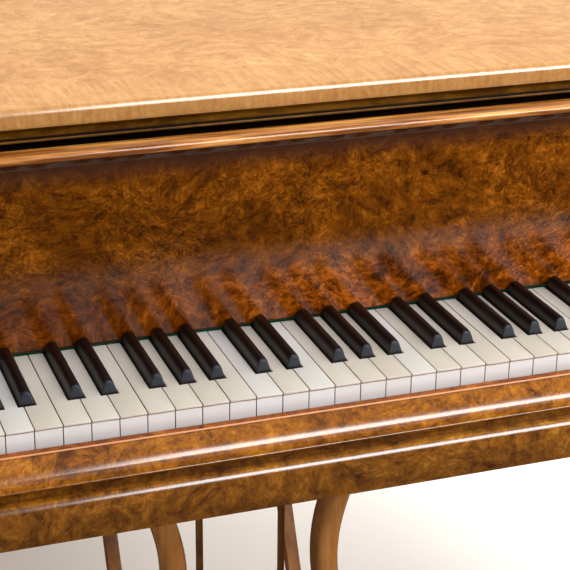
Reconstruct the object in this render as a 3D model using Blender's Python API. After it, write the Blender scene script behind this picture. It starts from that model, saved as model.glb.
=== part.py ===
"""A drawing-room grand piano with its lid closed and its keyboard open.

Metres, +Z up. +X runs along the keyboard to the treble, +Y from the player to the tail.
The origin is on the floor, under the middle of the case. Heights named RISE or DROP are
measured from the tops of the naturals, and depths from the naturals' front edge.
"""

from math import asin, cos, hypot, pi, radians, sin

import bmesh
import bpy
from mathutils import Vector

# Clearances
SEAT = 0.0003            # between faces that rest on each other
SLIDE = 0.0015           # beside pieces that slide or swing between walls
SHIFT_ROOM = 0.0035      # beside the end keys, for the keyboard's sideways shift
WELD = 0.0005            # how far a glued piece is let into the one that carries it

# Keyboard, measured on the photograph
KEY_TOP = 0.725          # tops of the naturals above the floor
KEY_PITCH = 0.0235       # one natural to the next
KEY_GAP = 0.0010
KEY_THICK = 0.022
KEY_BACK = 0.075         # keys' back ends to the belly rail
SHARP_FRONT = 0.0435     # naturals' front edge to the sharps
SHARP_BACK = 0.140
SHARP_WIDTH = 0.0137
SHARP_TOP_WIDTH = 0.0084
SHARP_HEIGHT = 0.012
SHARP_SLOPE = 0.003      # how far a sharp's front leans back
SHARP_EDGE = 0.001       # upright foot of the sharp, above the naturals
SIDE_OFFSETS = {"C": -0.0024, "D": 0.0024, "F": -0.0030, "G": 0.0, "A": 0.0030}
BALANCE_DEPTH = 0.225    # naturals' front edge to the pins that the keys rock on
BALANCE_WIDTH = 0.012
BACK_RAIL_BACK = 0.098   # middle of the rear half of the back rail to the belly rail
BACK_RAIL_WIDTH = 0.020
BEARING_HEIGHT = 0.0010  # punching between a key and its rail
BEARING_LENGTH = 0.008
BEARING_WIDTH = 0.006
STRETCHER_HEIGHT = 0.012
STRETCHER_WIDTH = 0.024
STRETCHER_SPACING = 0.290
STRETCHER_BACK = 0.030   # stretchers' ends to the belly rail
FRONT_RAIL_DEPTH = 0.010
FRONT_RAIL_WIDTH = 0.050
FRONT_RAIL_HEIGHT = 0.018

# Action
BRACKET_WIDTH = 0.012
BRACKET_BACK = 0.068     # brackets' feet to the belly rail
BRACKET_RISE = 0.018
BRACKET_ARM = 0.016
ACTION_RAIL_WIDTH = 0.018
HAMMER_REACH = 0.135     # hammer rail's front to the line where the hammers strike
HAMMER_RAIL_WIDTH = 0.022
HAMMER_RAIL_HEIGHT = 0.016
HAMMER_BACK = 0.030      # line where the hammers strike to the belly rail
HAMMER_TOP = 0.088
HAMMER_WIDTH = 0.008
SHANK_THICK = 0.006
DAMPER_BACK = 0.0005     # damper rail to the belly rail
DAMPER_COUNT = 66
DAMPER_RAIL_RISE = 0.020
DAMPER_RAIL_HEIGHT = 0.014
DAMPER_RAIL_WIDTH = 0.012
DAMPER_LENGTH = 0.034
DAMPER_HEIGHT = 0.013
DAMPER_WIDTH = 0.007
DAMPER_POST = 0.002

# Case
LENGTH = 2.120           # arms to the tail edge of the lid
ARM_REACH = 0.030
KEYBED_DROP = 0.0570
KEYBED_THICK = 0.0386
KEYBED_REACH = 0.0215
KEYBED_NOSE = 0.002
RIM_RISE = 0.2017
WALL = 0.038
ARM_BACK = 0.108         # where the arms start to sweep down from the rim's top
ARM_TOP = 0.062          # height of the arms' flat
ARM_NOSE = 0.018
KEY_BLOCK_WIDTH = 0.0415
KEY_BLOCK_RISE = 0.0125
KEY_BLOCK_BACK = 0.138
KEY_BLOCK_ROUND = 0.008
CHEEK_LENGTH = 0.960     # straight run of the treble side
SHOULDER_IN = 0.434
SHOULDER_BACK = 0.580
TAIL_WIDTH = 0.634
TAIL_RADIUS = 0.054
BELLY_DEPTH = 0.470
BELLY_THICK = 0.030
BEAM_WIDTH = 0.060
BEAM_HEIGHT = 0.075
SLIP_BACK = 0.003        # the slip's inner face, in front of the naturals

# Lid
LID_THICK = 0.0170
LID_OVERHANG = 0.006
LID_EDGE = 0.003         # rounding of the lid's upper edges
LID_FRONT = 0.1557
FLAP_LENGTH = 0.420
FLAP_GAP = 0.006
FLAP_HINGE_RADIUS = 0.0025
FLAP_HINGE_LEAF = 0.0012
FLAP_HINGE_RISE = 0.0005
LID_MOULDING_DEPTH = 0.012
LID_MOULDING_DROP = 0.012
LID_HINGE_RADIUS = 0.0026
LID_HINGE_LEAF = 0.0007
LID_HINGE_WIDTH = 0.009
LID_HINGE_NECK = 0.0017  # height of the bare strip of a leaf beside the barrel
LID_HINGE_LENGTH = 0.080
LID_HINGE_PLACES = (0.700, 1.780)
LID_OPEN = radians(28)

# Fallboard
FALL_FACE = 0.143        # depth of its face at the level of the key tops
FALL_LEAN = 0.0437       # forward lean of the face, per unit of height
FALL_THICK = 0.016
FALL_FOOT = 0.004
FALL_BOARD_TOP = 0.1692
FALL_COVE_DEPTH = 0.0176
FALL_COVE_HEIGHT = 0.0138
FALL_NOSE_RADIUS = 0.0035
FALL_PIVOT_DEPTH = 0.146
FALL_PIVOT_RISE = 0.018
FALL_PIN = 0.0035        # pins that it turns on, let into the case's walls
FALL_PIN_LENGTH = 0.015
NAME_RAIL_DEPTH = 0.168
NAME_RAIL_THICK = 0.014
FELT_FRONT = 0.1416
FELT_LOW = 0.0006
FELT_HIGH = 0.0028

# Strung back
PLANK_DEPTH = 0.200
PLANK_BACK = 0.045       # wrest plank to the belly rail
PLANK_TOP = 0.115
PLANK_THICK = 0.040
SOUNDBOARD_TOP = 0.108
SOUNDBOARD_THICK = 0.008
BRIDGE_WIDTH = 0.030
BRIDGE_HEIGHT = 0.020
BASS_BRIDGE_HEIGHT = 0.034
FRAME_THICK = 0.010
FRAME_RIM_WIDTH = 0.075
FRAME_FRONT_WIDTH = 0.050
FRAME_STRIP = 0.012
FRAME_MARGIN = 0.004
BAR_WIDTH = 0.016
BAR_LOW = 0.153
BAR_HIGH = 0.165
BAR_COUNT = 6
BAR_SPACING = 0.186
BAR_SLANT = -0.13        # sideways run of a bar per unit of depth
BAR_FOOT = 0.025

# Music shelf and desk
SHELF_DEPTH = 0.180
SHELF_WIDTH = 0.220
SHELF_THICK = 0.012
SHELF_RISE = 0.168
SHELF_MARGIN = 0.070     # shelf's ends to the case's walls, room for the prop stick
SHELF_RAIL_WIDTH = 0.015
SHELF_RAIL_LENGTH = 0.165
DESK_HEIGHT = 0.190
DESK_HALF = 0.380
DESK_THICK = 0.012
DESK_PIVOT = 0.384

# Prop stick
PROP_DEPTH = 0.178       # its hinge behind the naturals' front edge
PROP_RISE = 0.137
PROP_RADIUS = 0.009
PROP_TIP_RADIUS = 0.003
PROP_TIP_LENGTH = 0.014
PROP_FROM_WALL = 0.028   # the least distance of its axis from the wall
PROP_SWING = radians(50)
PROP_REACH = 1.125       # where it meets the lid, from the lid's hinges
PROP_CLEAR = 0.012       # how much shorter it is, so that it follows the lid freely
PROP_BOSS = 0.007

# Legs and casters
LEG_INSET = 0.085        # leg's centre from the case side
LEG_DEPTH = 0.130        # front legs' centres behind the naturals' front edge
TAIL_LEG_INSET = 0.290
TAIL_LEG_FORWARD = 0.210
LEG_BLOCK = 0.130
LEG_BLOCK_HEIGHT = 0.060
LEG_STEPS = 16
LEG_RADIUS = 0.072
LEG_PROFILE = (          # shares of the radius, and of the height from the caster to the block
    (0.306, 0.0), (0.417, 0.009), (0.458, 0.030), (0.361, 0.051), (0.417, 0.079), (0.667, 0.641),
    (0.778, 0.658), (0.778, 0.684), (0.639, 0.705), (0.806, 0.747), (0.972, 0.822), (1.0, 0.875),
    (0.833, 0.949), (0.889, 0.964), (0.861, 1.0))
CASTER_HEIGHT = 0.098
WHEEL_RADIUS = 0.028
WHEEL_WIDTH = 0.016
WHEEL_BORE = 0.0048
AXLE_RADIUS = 0.004
CASTER_TRAIL = 0.018
FORK_WALL = 0.004
FORK_GAP = 0.001
FORK_PLATE = 0.008
FORK_RADIUS = 0.021
CASTER_TURNS = {"left": 35, "right": 155, "back": 275}

# Lyre and pedals
LYRE_DEPTH = 0.230       # middle of the lyre behind the naturals' front edge
LYRE_THICK = 0.034
LYRE_POST = 0.026
LYRE_HALF = 0.130
LYRE_WAIST = 0.088
LYRE_HEAD_HEIGHT = 0.048
LYRE_HEAD_DEPTH = 0.090
PEDAL_BOX_LOW = 0.068
PEDAL_BOX_HIGH = 0.145
PEDAL_BOX_DEPTH = 0.130
PEDAL_HEIGHT = 0.109     # pivots above the floor
PEDAL_SPACING = 0.090
PEDAL_THICK = 0.008
PEDAL_SLOT_WIDTH = 0.026
PEDAL_SLOT_HEIGHT = 0.040
PEDAL_SLOT_BACK = 0.050  # pivot to the closed end of the slot
PEDAL_REACH = 0.135      # pivot to the tip
PEDAL_ARM = 0.030        # pivot to the rod
PEDAL_TAIL = 0.040       # pivot to the inner end
PEDAL_NARROW = 0.016
PEDAL_WIDE = 0.042
PEDAL_PIN = 0.003
ROD_RADIUS = 0.004
ROD_BORE = 0.0055
ROD_RISE = -0.059        # tops of the rods, inside the keybed
BRACE_WIDTH = 0.014
BRACE_RUN = 0.250

# Worked out from the sizes above
NATURALS = 52
KEYS_HALF = NATURALS * KEY_PITCH / 2
WALL_FACE = KEYS_HALF + SHIFT_ROOM + KEY_BLOCK_WIDTH
RIM_X = WALL_FACE + WALL
FRONT_Y = -LENGTH / 2
KEY_FRONT = FRONT_Y + ARM_REACH
TAIL_Y = LENGTH / 2 - LID_OVERHANG
CASE_BOTTOM = KEY_TOP - KEYBED_DROP - KEYBED_THICK
RIM_TOP = KEY_TOP + RIM_RISE
LID_LOW = RIM_TOP + SEAT
LID_HIGH = LID_LOW + LID_THICK
FLAP_SPLIT = KEY_FRONT + LID_FRONT + FLAP_LENGTH
RAIL_TOP = -KEY_THICK - BEARING_HEIGHT
RAIL_LOW = -KEYBED_DROP + SEAT + STRETCHER_HEIGHT + SEAT
KEY_LENGTH = BELLY_DEPTH - KEY_BACK
BACK_RAIL_DEPTH = BELLY_DEPTH - BACK_RAIL_BACK
BRACKET_FOOT = BELLY_DEPTH - BRACKET_BACK
HAMMER_LINE = BELLY_DEPTH - HAMMER_BACK
HAMMER_RAIL_DEPTH = HAMMER_LINE - HAMMER_REACH
DAMPER_LINE = BELLY_DEPTH - DAMPER_BACK - DAMPER_RAIL_WIDTH / 2
PLANK_LENGTH = BELLY_DEPTH - PLANK_BACK - PLANK_DEPTH
SHELF_HALF = WALL_FACE - SHELF_MARGIN
LETTERS = "ABCDEFG"
MIDDLE_OCTAVE = range(23, 30)


def depth(distance):
    """World Y of a point this far behind the naturals' front edge."""
    return KEY_FRONT + distance


def height(rise):
    """World Z of a point this far above the key tops."""
    return KEY_TOP + rise


def placed(profile):
    """A side profile, given as depths and heights from the keys, in world Y and Z."""
    return [(depth(d), height(h)) for d, h in profile]


# Shapes: each is a list of points and a list of faces


def prism(outline, low, high, axis="Z"):
    """A flat outline pushed along an axis. It is given in the other two axes, in their order."""
    order = {"X": (2, 0, 1), "Y": (0, 2, 1), "Z": (0, 1, 2)}[axis]
    points = []
    for level in (low, high):
        for a, b in outline:
            point = (a, b, level)
            points.append(tuple(point[i] for i in order))
    n = len(outline)
    sides = [(i, (i + 1) % n, n + (i + 1) % n, n + i) for i in range(n)]
    return points, [tuple(range(n)), tuple(range(n, 2 * n))] + sides


def box(low, high):
    """A block between two corners."""
    (x0, y0, z0), (x1, y1, z1) = low, high
    return prism([(x0, y0), (x1, y0), (x1, y1), (x0, y1)], z0, z1)


def loft(rings):
    """Rings of as many points each, joined in turn and closed at both ends."""
    n = len(rings[0])
    points = [point for ring in rings for point in ring]
    faces = [tuple(range(n)), tuple(range(len(points) - n, len(points)))]
    for row in range(len(rings) - 1):
        for i in range(n):
            j = (i + 1) % n
            faces.append((row * n + i, row * n + j, row * n + n + j, row * n + n + i))
    return points, faces


def turned(profile, centre, steps, axis="Z"):
    """A profile of (radius, height) pairs turned about an axis through the centre."""
    rings = []
    for radius, along in profile:
        ring = []
        for i in range(steps):
            turn = 2 * pi * i / steps
            a, b = radius * cos(turn), radius * sin(turn)
            offset = {"X": (along, a, b), "Y": (a, along, b), "Z": (a, b, along)}[axis]
            ring.append(tuple(c + o for c, o in zip(centre, offset)))
        rings.append(ring)
    return loft(rings)


def rod(start, end, radius, steps):
    """A round rod between two points."""
    along = Vector(end) - Vector(start)
    across = along.orthogonal().normalized()
    upward = along.normalized().cross(across)
    rings = []
    for centre in (Vector(start), Vector(end)):
        ring = []
        for i in range(steps):
            turn = 2 * pi * i / steps
            ring.append(tuple(centre + radius * (cos(turn) * across + sin(turn) * upward)))
        rings.append(ring)
    return loft(rings)


def merged(shapes):
    """Several shapes as one mesh."""
    points, faces = [], []
    for more_points, more_faces in shapes:
        start = len(points)
        points += more_points
        faces += [tuple(start + i for i in face) for face in more_faces]
    return points, faces


# Curves in a plane


def arc(centre, radius, start, end, steps):
    """Points on a circle's arc, in degrees; radius may be a pair for an ellipse."""
    wide, tall = radius if isinstance(radius, tuple) else (radius, radius)
    turns = [radians(start + (end - start) * i / steps) for i in range(steps + 1)]
    return [(centre[0] + wide * cos(t), centre[1] + tall * sin(t)) for t in turns]


def bezier(p0, p1, p2, p3, steps):
    """Points on a cubic curve, without its first one."""
    points = []
    for i in range(1, steps + 1):
        t = i / steps
        weights = ((1 - t) ** 3, 3 * t * (1 - t) ** 2, 3 * t * t * (1 - t), t ** 3)
        points.append(tuple(
            sum(w * p[k] for w, p in zip(weights, (p0, p1, p2, p3))) for k in (0, 1)
        ))
    return points


def shifted(path, distance, closed=False):
    """The path moved to its left by a distance, with mitred corners."""
    n = len(path)
    moved = []
    for i, (x, y) in enumerate(path):
        before = path[i - 1] if closed or i else None
        after = path[(i + 1) % n] if closed or i < n - 1 else None
        normals = []
        for a, b in ((before, (x, y)), ((x, y), after)):
            if a is None or b is None:
                continue
            run = hypot(b[0] - a[0], b[1] - a[1])
            normals.append((-(b[1] - a[1]) / run, (b[0] - a[0]) / run))
        nx = sum(v[0] for v in normals) / len(normals)
        ny = sum(v[1] for v in normals) / len(normals)
        scale = distance / (nx * nx + ny * ny)
        moved.append((x + nx * scale, y + ny * scale))
    return moved


def run_to(outline, start, direction):
    """Distance from a point inside a closed outline to the outline, along a direction."""
    best = None
    for i, a in enumerate(outline):
        b = outline[(i + 1) % len(outline)]
        ex, ey = b[0] - a[0], b[1] - a[1]
        cross = direction[0] * ey - direction[1] * ex
        if abs(cross) < 1e-9:
            continue
        wx, wy = a[0] - start[0], a[1] - start[1]
        along = (wx * ey - wy * ex) / cross
        share = (wx * direction[1] - wy * direction[0]) / cross
        if along > 0 and 0 <= share <= 1 and (best is None or along < best):
            best = along
    return best


# Objects


def finish(name, colour, roughness, metallic=0.0):
    """A material with a Principled shader."""
    material = bpy.data.materials.new(name)
    material.use_nodes = True
    shader = material.node_tree.nodes["Principled BSDF"]
    shader.inputs["Base Color"].default_value = (*colour, 1.0)
    shader.inputs["Roughness"].default_value = roughness
    shader.inputs["Metallic"].default_value = metallic
    material.diffuse_color = (*colour, 1.0)
    return material


def add(name, shape, material):
    """One named object from a shape, facing out."""
    mesh = bpy.data.meshes.new(name)
    mesh.from_pydata(shape[0], [], shape[1])
    faces = bmesh.new()
    faces.from_mesh(mesh)
    bmesh.ops.recalc_face_normals(faces, faces=faces.faces)
    faces.to_mesh(mesh)
    faces.free()
    mesh.materials.append(material)
    made = bpy.data.objects.new(name, mesh)
    bpy.context.scene.collection.objects.link(made)
    return made


def combine(piece, shape, operation, use_self=False):
    """Unites a piece with a shape, cuts the shape from it or keeps what they share."""
    helper = add(f"{piece.name}_{operation.lower()}", shape, piece.data.materials[0])
    helper.hide_render = True
    helper.display_type = "WIRE"
    helper.parent = piece
    step = piece.modifiers.new(helper.name, "BOOLEAN")
    step.operation = operation
    step.solver = "EXACT"
    step.use_self = use_self
    step.object = helper
    return piece


def fuse(piece, *shapes):
    """Glues shapes to the piece that carries them."""
    return combine(piece, merged(shapes), "UNION", use_self=True)


def cut(piece, *shapes):
    """Cuts shapes out of a piece."""
    return combine(piece, merged(shapes), "DIFFERENCE", use_self=True)


def pivot(name, place, turn=(0.0, 0.0, 0.0)):
    """An empty on a joint's axis."""
    empty = bpy.data.objects.new(name, None)
    empty.empty_display_size = 0.05
    empty.location = place
    empty.rotation_euler = turn
    bpy.context.scene.collection.objects.link(empty)
    return empty


def hang(pieces, empty):
    """Parents pieces to an empty, leaving them where they are."""
    bpy.context.view_layer.update()
    for piece in pieces:
        piece.parent = empty
        piece.matrix_parent_inverse = empty.matrix_world.inverted()


# Outlines of the case in plan


def treble_side(outset=0.0, rounded=True):
    """Outer face of the case from the treble cheek round the tail to the spine."""
    bend = (RIM_X, FRONT_Y + CHEEK_LENGTH)
    shoulder = (RIM_X - SHOULDER_IN, bend[1] + SHOULDER_BACK)
    tail = (-RIM_X + TAIL_WIDTH, TAIL_Y - TAIL_RADIUS)
    sweep = (shoulder[0] - tail[0], tail[1] - shoulder[1])
    leaving = (shoulder[0] - 0.55 * sweep[0], shoulder[1] + 0.34 * sweep[1])
    entering = (shoulder[0] + 0.50 * (shoulder[0] - leaving[0]),
                shoulder[1] - 0.50 * (leaving[1] - shoulder[1]))
    path = [(RIM_X, FRONT_Y), bend]
    path += bezier(bend, (bend[0], bend[1] + 0.60 * SHOULDER_BACK), entering, shoulder, 12)
    path += bezier(shoulder, leaving, (tail[0] + 0.12 * sweep[0], tail[1] - 0.42 * sweep[1]), tail, 12)
    if rounded:
        path += arc((tail[0] - TAIL_RADIUS, tail[1]), TAIL_RADIUS, 0, 90, 5)[1:]
    else:
        path.append((tail[0], TAIL_Y))
    path.append((-RIM_X, TAIL_Y))
    return shifted(path, -outset) if outset else path


def inside(front, inset):
    """Closed outline inside the case walls, from a front line back, this far from the walls."""
    side = treble_side(rounded=WALL + inset < TAIL_RADIUS)
    path = shifted(side, WALL + inset)[1:-1]
    left, right = -WALL_FACE + inset, WALL_FACE - inset
    return [(left, front), (right, front)] + path + [(left, TAIL_Y - WALL - inset)]


def slab(outline, levels):
    """A board from its outline and (inset, height) pairs, which round its edges."""
    rings = []
    for inset, level in levels:
        ring = shifted(outline, inset, closed=True) if inset else outline
        rings.append([(x, y, level) for x, y in ring])
    return loft(rings)


# The case


def make_case():
    arm = [(depth(ARM_BACK), RIM_TOP + WALL), (depth(ARM_BACK), RIM_TOP)]
    mid = (depth(ARM_BACK - 0.024), height(0.66 * RIM_RISE))
    flat = (depth(0.010), height(ARM_TOP + 0.002))
    arm += bezier(arm[1], (depth(ARM_BACK - 0.020), RIM_TOP), (mid[0] + 0.008, mid[1] + 0.030), mid, 5)
    arm += bezier(mid, (mid[0] - 0.010, mid[1] - 0.038), (depth(0.050), height(ARM_TOP + 0.008)), flat, 6)
    arm += arc((FRONT_Y + ARM_NOSE, height(ARM_TOP - ARM_NOSE)), ARM_NOSE, 90, 180, 4)
    arm += [(FRONT_Y - WALL, height(ARM_TOP - ARM_NOSE)), (FRONT_Y - WALL, RIM_TOP + WALL)]
    sweep = prism(arm, -RIM_X - WALL, RIM_X + WALL, "X")

    spine = [(-RIM_X, FRONT_Y), (-WALL_FACE, FRONT_Y), (-WALL_FACE, TAIL_Y), (-RIM_X, TAIL_Y)]
    cut(add("spine", prism(spine, CASE_BOTTOM, RIM_TOP), WALNUT), sweep)

    outer = treble_side()
    outer[-1] = (-WALL_FACE + SEAT, TAIL_Y)
    inner = shifted(outer, WALL)
    bent = outer + inner[::-1]
    cut(add("bentside", prism(bent, CASE_BOTTOM, RIM_TOP), WALNUT), sweep)

    reach = WALL_FACE - SEAT
    bed = [(-KEYBED_REACH, -KEYBED_DROP - KEYBED_THICK), (BELLY_DEPTH - SEAT, -KEYBED_DROP - KEYBED_THICK)]
    bed += [(BELLY_DEPTH - SEAT, -KEYBED_DROP)]
    nose = (-KEYBED_REACH + KEYBED_NOSE, -KEYBED_DROP - KEYBED_NOSE)
    bed += arc(nose, KEYBED_NOSE, 90, 180, 3)
    keybed = add("keybed", prism(placed(bed), -reach, reach, "X"), WALNUT)
    cut(keybed, *[rod((x, y, CASE_BOTTOM - WALL), (x, y, KEY_TOP), ROD_BORE, 8) for x, y in rod_places()])

    slip_low = -KEYBED_DROP + SEAT
    slip = [(-SLIP_BACK, slip_low), (-SLIP_BACK, -0.0165), (-0.0070, -0.0162)]
    slip += arc((-0.0083, -0.0183), 0.0022, 110, 200, 3)
    slip += bezier((-0.0105, -0.0190), (-0.0156, -0.0211), (-0.0208, -0.0254), (-0.0235, -0.0290), 4)
    slip += bezier((-0.0235, -0.0290), (-0.0262, -0.0326), (-0.0264, -0.0365), (-0.0270, -0.0405), 4)
    slip += [(-0.0255, -0.0425), (-0.0165, -0.0465), (-0.0135, -0.0515), (-0.0130, slip_low)]
    add("key_slip", prism(placed(slip), -reach, reach, "X"), BURR)

    block_front = -SLIP_BACK + SEAT
    block = [(block_front, slip_low), (block_front, KEY_BLOCK_RISE - KEY_BLOCK_ROUND)]
    block += arc((block_front + KEY_BLOCK_ROUND, KEY_BLOCK_RISE - KEY_BLOCK_ROUND), KEY_BLOCK_ROUND, 180, 90, 4)[1:]
    block += [(KEY_BLOCK_BACK, KEY_BLOCK_RISE), (KEY_BLOCK_BACK, slip_low)]
    edge = KEYS_HALF + SHIFT_ROOM
    add("key_block_bass", prism(placed(block), -reach, -edge, "X"), BURR)
    add("key_block_treble", prism(placed(block), edge, reach, "X"), BURR)

    rail_top = PLANK_TOP - PLANK_THICK - SEAT
    name_back = NAME_RAIL_DEPTH + NAME_RAIL_THICK
    rail = [(FELT_FRONT, FELT_LOW), (name_back, FELT_LOW), (name_back, rail_top)]
    rail += [(NAME_RAIL_DEPTH, rail_top), (NAME_RAIL_DEPTH, FELT_HIGH), (FELT_FRONT, FELT_HIGH)]
    add("name_rail", prism(placed(rail), -reach, reach, "X"), WOOD)


def make_back():
    """Bracing, soundboard, bridges, iron frame and wrest plank."""
    reach = WALL_FACE - SEAT
    belly, belly_back = depth(BELLY_DEPTH), depth(BELLY_DEPTH + BELLY_THICK)
    board_low = height(SOUNDBOARD_TOP - SOUNDBOARD_THICK)
    beam_top = CASE_BOTTOM + BEAM_HEIGHT
    tail_leg = (-RIM_X + TAIL_LEG_INSET, TAIL_Y - TAIL_LEG_FORWARD)
    half = BEAM_WIDTH / 2
    beams = []
    for share in (0.16, 0.36, 0.56, 0.76):
        x = -WALL_FACE + share * 2 * WALL_FACE
        beams.append(box((x - half, belly_back - BELLY_THICK / 2, CASE_BOTTOM), (x + half, TAIL_Y, beam_top)))
    for y in ((belly_back + tail_leg[1]) / 2, tail_leg[1]):
        beams.append(box((-RIM_X, y - half, CASE_BOTTOM), (RIM_X, y + half, beam_top)))
    bracing = add("bracing", box((-reach, belly, CASE_BOTTOM), (reach, belly_back, board_low - SEAT)), WOOD)
    fuse(bracing, *beams)
    room = prism(inside(belly - WALL, SEAT), CASE_BOTTOM - WALL, RIM_TOP)
    combine(bracing, room, "INTERSECT")

    board = inside(belly, SEAT)
    add("soundboard", prism(board, board_low, height(SOUNDBOARD_TOP)), SPRUCE)

    bridge_low = height(SOUNDBOARD_TOP) + SEAT
    room_x, room_y = WALL_FACE - FRAME_MARGIN - FRAME_RIM_WIDTH, TAIL_Y - belly_back
    start = (room_x - 0.020, belly_back + 0.022)
    long_path = [start] + bezier(
        start, (0.34 * room_x, belly_back + 0.06 * room_y),
        (-0.17 * room_x, belly_back + 0.31 * room_y), (-0.66 * room_x, belly_back + 0.79 * room_y), 14)
    short_start = (-0.60 * room_x, belly_back + 0.885 * room_y)
    short_path = [short_start] + bezier(
        short_start, (-0.48 * room_x, belly_back + 0.875 * room_y),
        (-0.33 * room_x, belly_back + 0.83 * room_y), (-0.20 * room_x, belly_back + 0.765 * room_y), 6)
    for name, path, rise in (("treble_bridge", long_path, BRIDGE_HEIGHT),
                             ("bass_bridge", short_path, BASS_BRIDGE_HEIGHT)):
        strip = shifted(path, BRIDGE_WIDTH / 2) + shifted(path, -BRIDGE_WIDTH / 2)[::-1]
        add(name, prism(strip, bridge_low, bridge_low + rise), WOOD)

    plank_front, plank_back = depth(PLANK_DEPTH), depth(PLANK_DEPTH + PLANK_LENGTH)
    plank_top = height(PLANK_TOP)
    plank = add("wrest_plank", box((-reach, plank_front, plank_top - PLANK_THICK), (reach, plank_back, plank_top)), WOOD)
    rail_high = height(SHELF_RISE) - SEAT
    rails = []
    for left in (-SHELF_HALF, SHELF_HALF - SHELF_RAIL_WIDTH):
        rails.append(box((left, plank_front + 0.005, plank_top - WELD),
                         (left + SHELF_RAIL_WIDTH, plank_front + 0.005 + SHELF_RAIL_LENGTH, rail_high)))
    fuse(plank, *rails)

    plate_low = height(SOUNDBOARD_TOP) + SEAT
    plate_high = plate_low + FRAME_THICK
    plate = prism(inside(plank_back + SEAT, FRAME_MARGIN), plate_low, plate_high)
    window = inside(plank_back + FRAME_STRIP, FRAME_MARGIN + FRAME_RIM_WIDTH)
    frame = add("iron_frame", plate, GILT)
    slot_low = (-KEYS_HALF - SHIFT_ROOM, depth(DAMPER_LINE) - DAMPER_RAIL_WIDTH / 2, plate_low - FRAME_THICK)
    slot_high = (0.0, depth(DAMPER_LINE) + DAMPER_RAIL_WIDTH / 2, plate_high + FRAME_THICK)
    cut(frame, prism(window, slot_low[2], slot_high[2]), box(slot_low, slot_high))
    band_low = plank_top + SEAT
    wide = WALL_FACE - FRAME_MARGIN - WELD
    band = box((-wide, plank_back - FRAME_FRONT_WIDTH, band_low),
               (wide, plank_back + FRAME_STRIP / 2, band_low + FRAME_THICK))
    ends = inside(plank_back - FRAME_FRONT_WIDTH, FRAME_MARGIN + BAR_FOOT / 2)
    bars = []
    norm = hypot(BAR_SLANT, 1.0)
    along = (BAR_SLANT / norm, 1.0 / norm)
    low, high = height(BAR_LOW), height(BAR_HIGH)
    for i in range(BAR_COUNT):
        foot = ((i - (BAR_COUNT - 1) / 2) * BAR_SPACING, plank_back - FRAME_FRONT_WIDTH / 2)
        run = run_to(ends, foot, along)
        side = [(0.0, band_low + FRAME_THICK / 2), (BAR_FOOT, band_low + FRAME_THICK / 2), (1.6 * BAR_FOOT, low)]
        side += [(run - 2 * BAR_FOOT, low), (run - BAR_FOOT, plate_low + FRAME_THICK / 2)]
        side += [(run, plate_low + FRAME_THICK / 2), (run, low), (run - BAR_FOOT / 2, high), (0.0, high)]
        rings = []
        for across in (-BAR_WIDTH / 2, BAR_WIDTH / 2):
            rings.append([(foot[0] + along[0] * s + along[1] * across,
                           foot[1] + along[1] * s - along[0] * across, z) for s, z in side])
        bars.append(loft(rings))
    fuse(frame, band, *bars)


# The keyboard


def key_list():
    """Every key: its name, whether it is a sharp, its natural's number and its tail's sides."""
    naturals, sharps = [], []
    centres = {}
    for i in range(NATURALS - 1):
        offset = SIDE_OFFSETS.get(LETTERS[i % 7])
        if offset is not None:
            centres[i] = (i + 1 - NATURALS / 2) * KEY_PITCH + offset
    half = SHARP_WIDTH / 2
    for i in range(NATURALS):
        name = f"key_{LETTERS[i % 7]}{(i + 5) // 7}"
        left, right = (i - NATURALS / 2) * KEY_PITCH, (i + 1 - NATURALS / 2) * KEY_PITCH
        head = (left + KEY_GAP / 2, right - KEY_GAP / 2)
        tail_left = centres[i - 1] + half + KEY_GAP if i - 1 in centres else head[0]
        tail_right = centres[i] - half - KEY_GAP if i in centres else head[1]
        naturals.append((name, i, head, (tail_left, tail_right)))
        if i in centres:
            sharps.append((f"{name}_sharp", i, centres[i]))
    return naturals, sharps


def natural_key(head, tail):
    """A natural: a wide head in front of the sharps and a tail between them."""
    front, neck, back = depth(0.0), depth(SHARP_FRONT - KEY_GAP), depth(KEY_LENGTH)
    outline = [(head[0], front), (head[1], front), (head[1], neck), (tail[1], neck)]
    outline += [(tail[1], back), (tail[0], back), (tail[0], neck), (head[0], neck)]
    outline = [point for i, point in enumerate(outline) if point != outline[i - 1]]
    return prism(outline, height(-KEY_THICK), KEY_TOP)


def sharp_key(centre):
    """A sharp: a stick with a tapered ebony block on its visible part."""
    wide, narrow, foot = SHARP_WIDTH / 2, SHARP_TOP_WIDTH / 2, SHARP_WIDTH / 2 - SHARP_EDGE / 4
    stations = [(SHARP_FRONT, foot, SHARP_EDGE), (SHARP_FRONT + SHARP_SLOPE, narrow, SHARP_HEIGHT),
                (SHARP_BACK - SHARP_SLOPE / 3, narrow, SHARP_HEIGHT), (SHARP_BACK, narrow, 0.0),
                (KEY_LENGTH, narrow, 0.0)]
    rings = []
    for distance, top, rise in stations:
        section = [(-wide, -KEY_THICK), (wide, -KEY_THICK), (wide, 0.0), (top, rise), (-top, rise), (-wide, 0.0)]
        rings.append([(centre + x, depth(distance), height(z)) for x, z in section])
    return loft(rings)


def bearing(centre, middle, low):
    """The punching under a key, on a rail."""
    return box((centre - BEARING_WIDTH / 2, middle - BEARING_LENGTH / 2, height(low)),
               (centre + BEARING_WIDTH / 2, middle + BEARING_LENGTH / 2, height(-KEY_THICK + WELD)))


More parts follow.
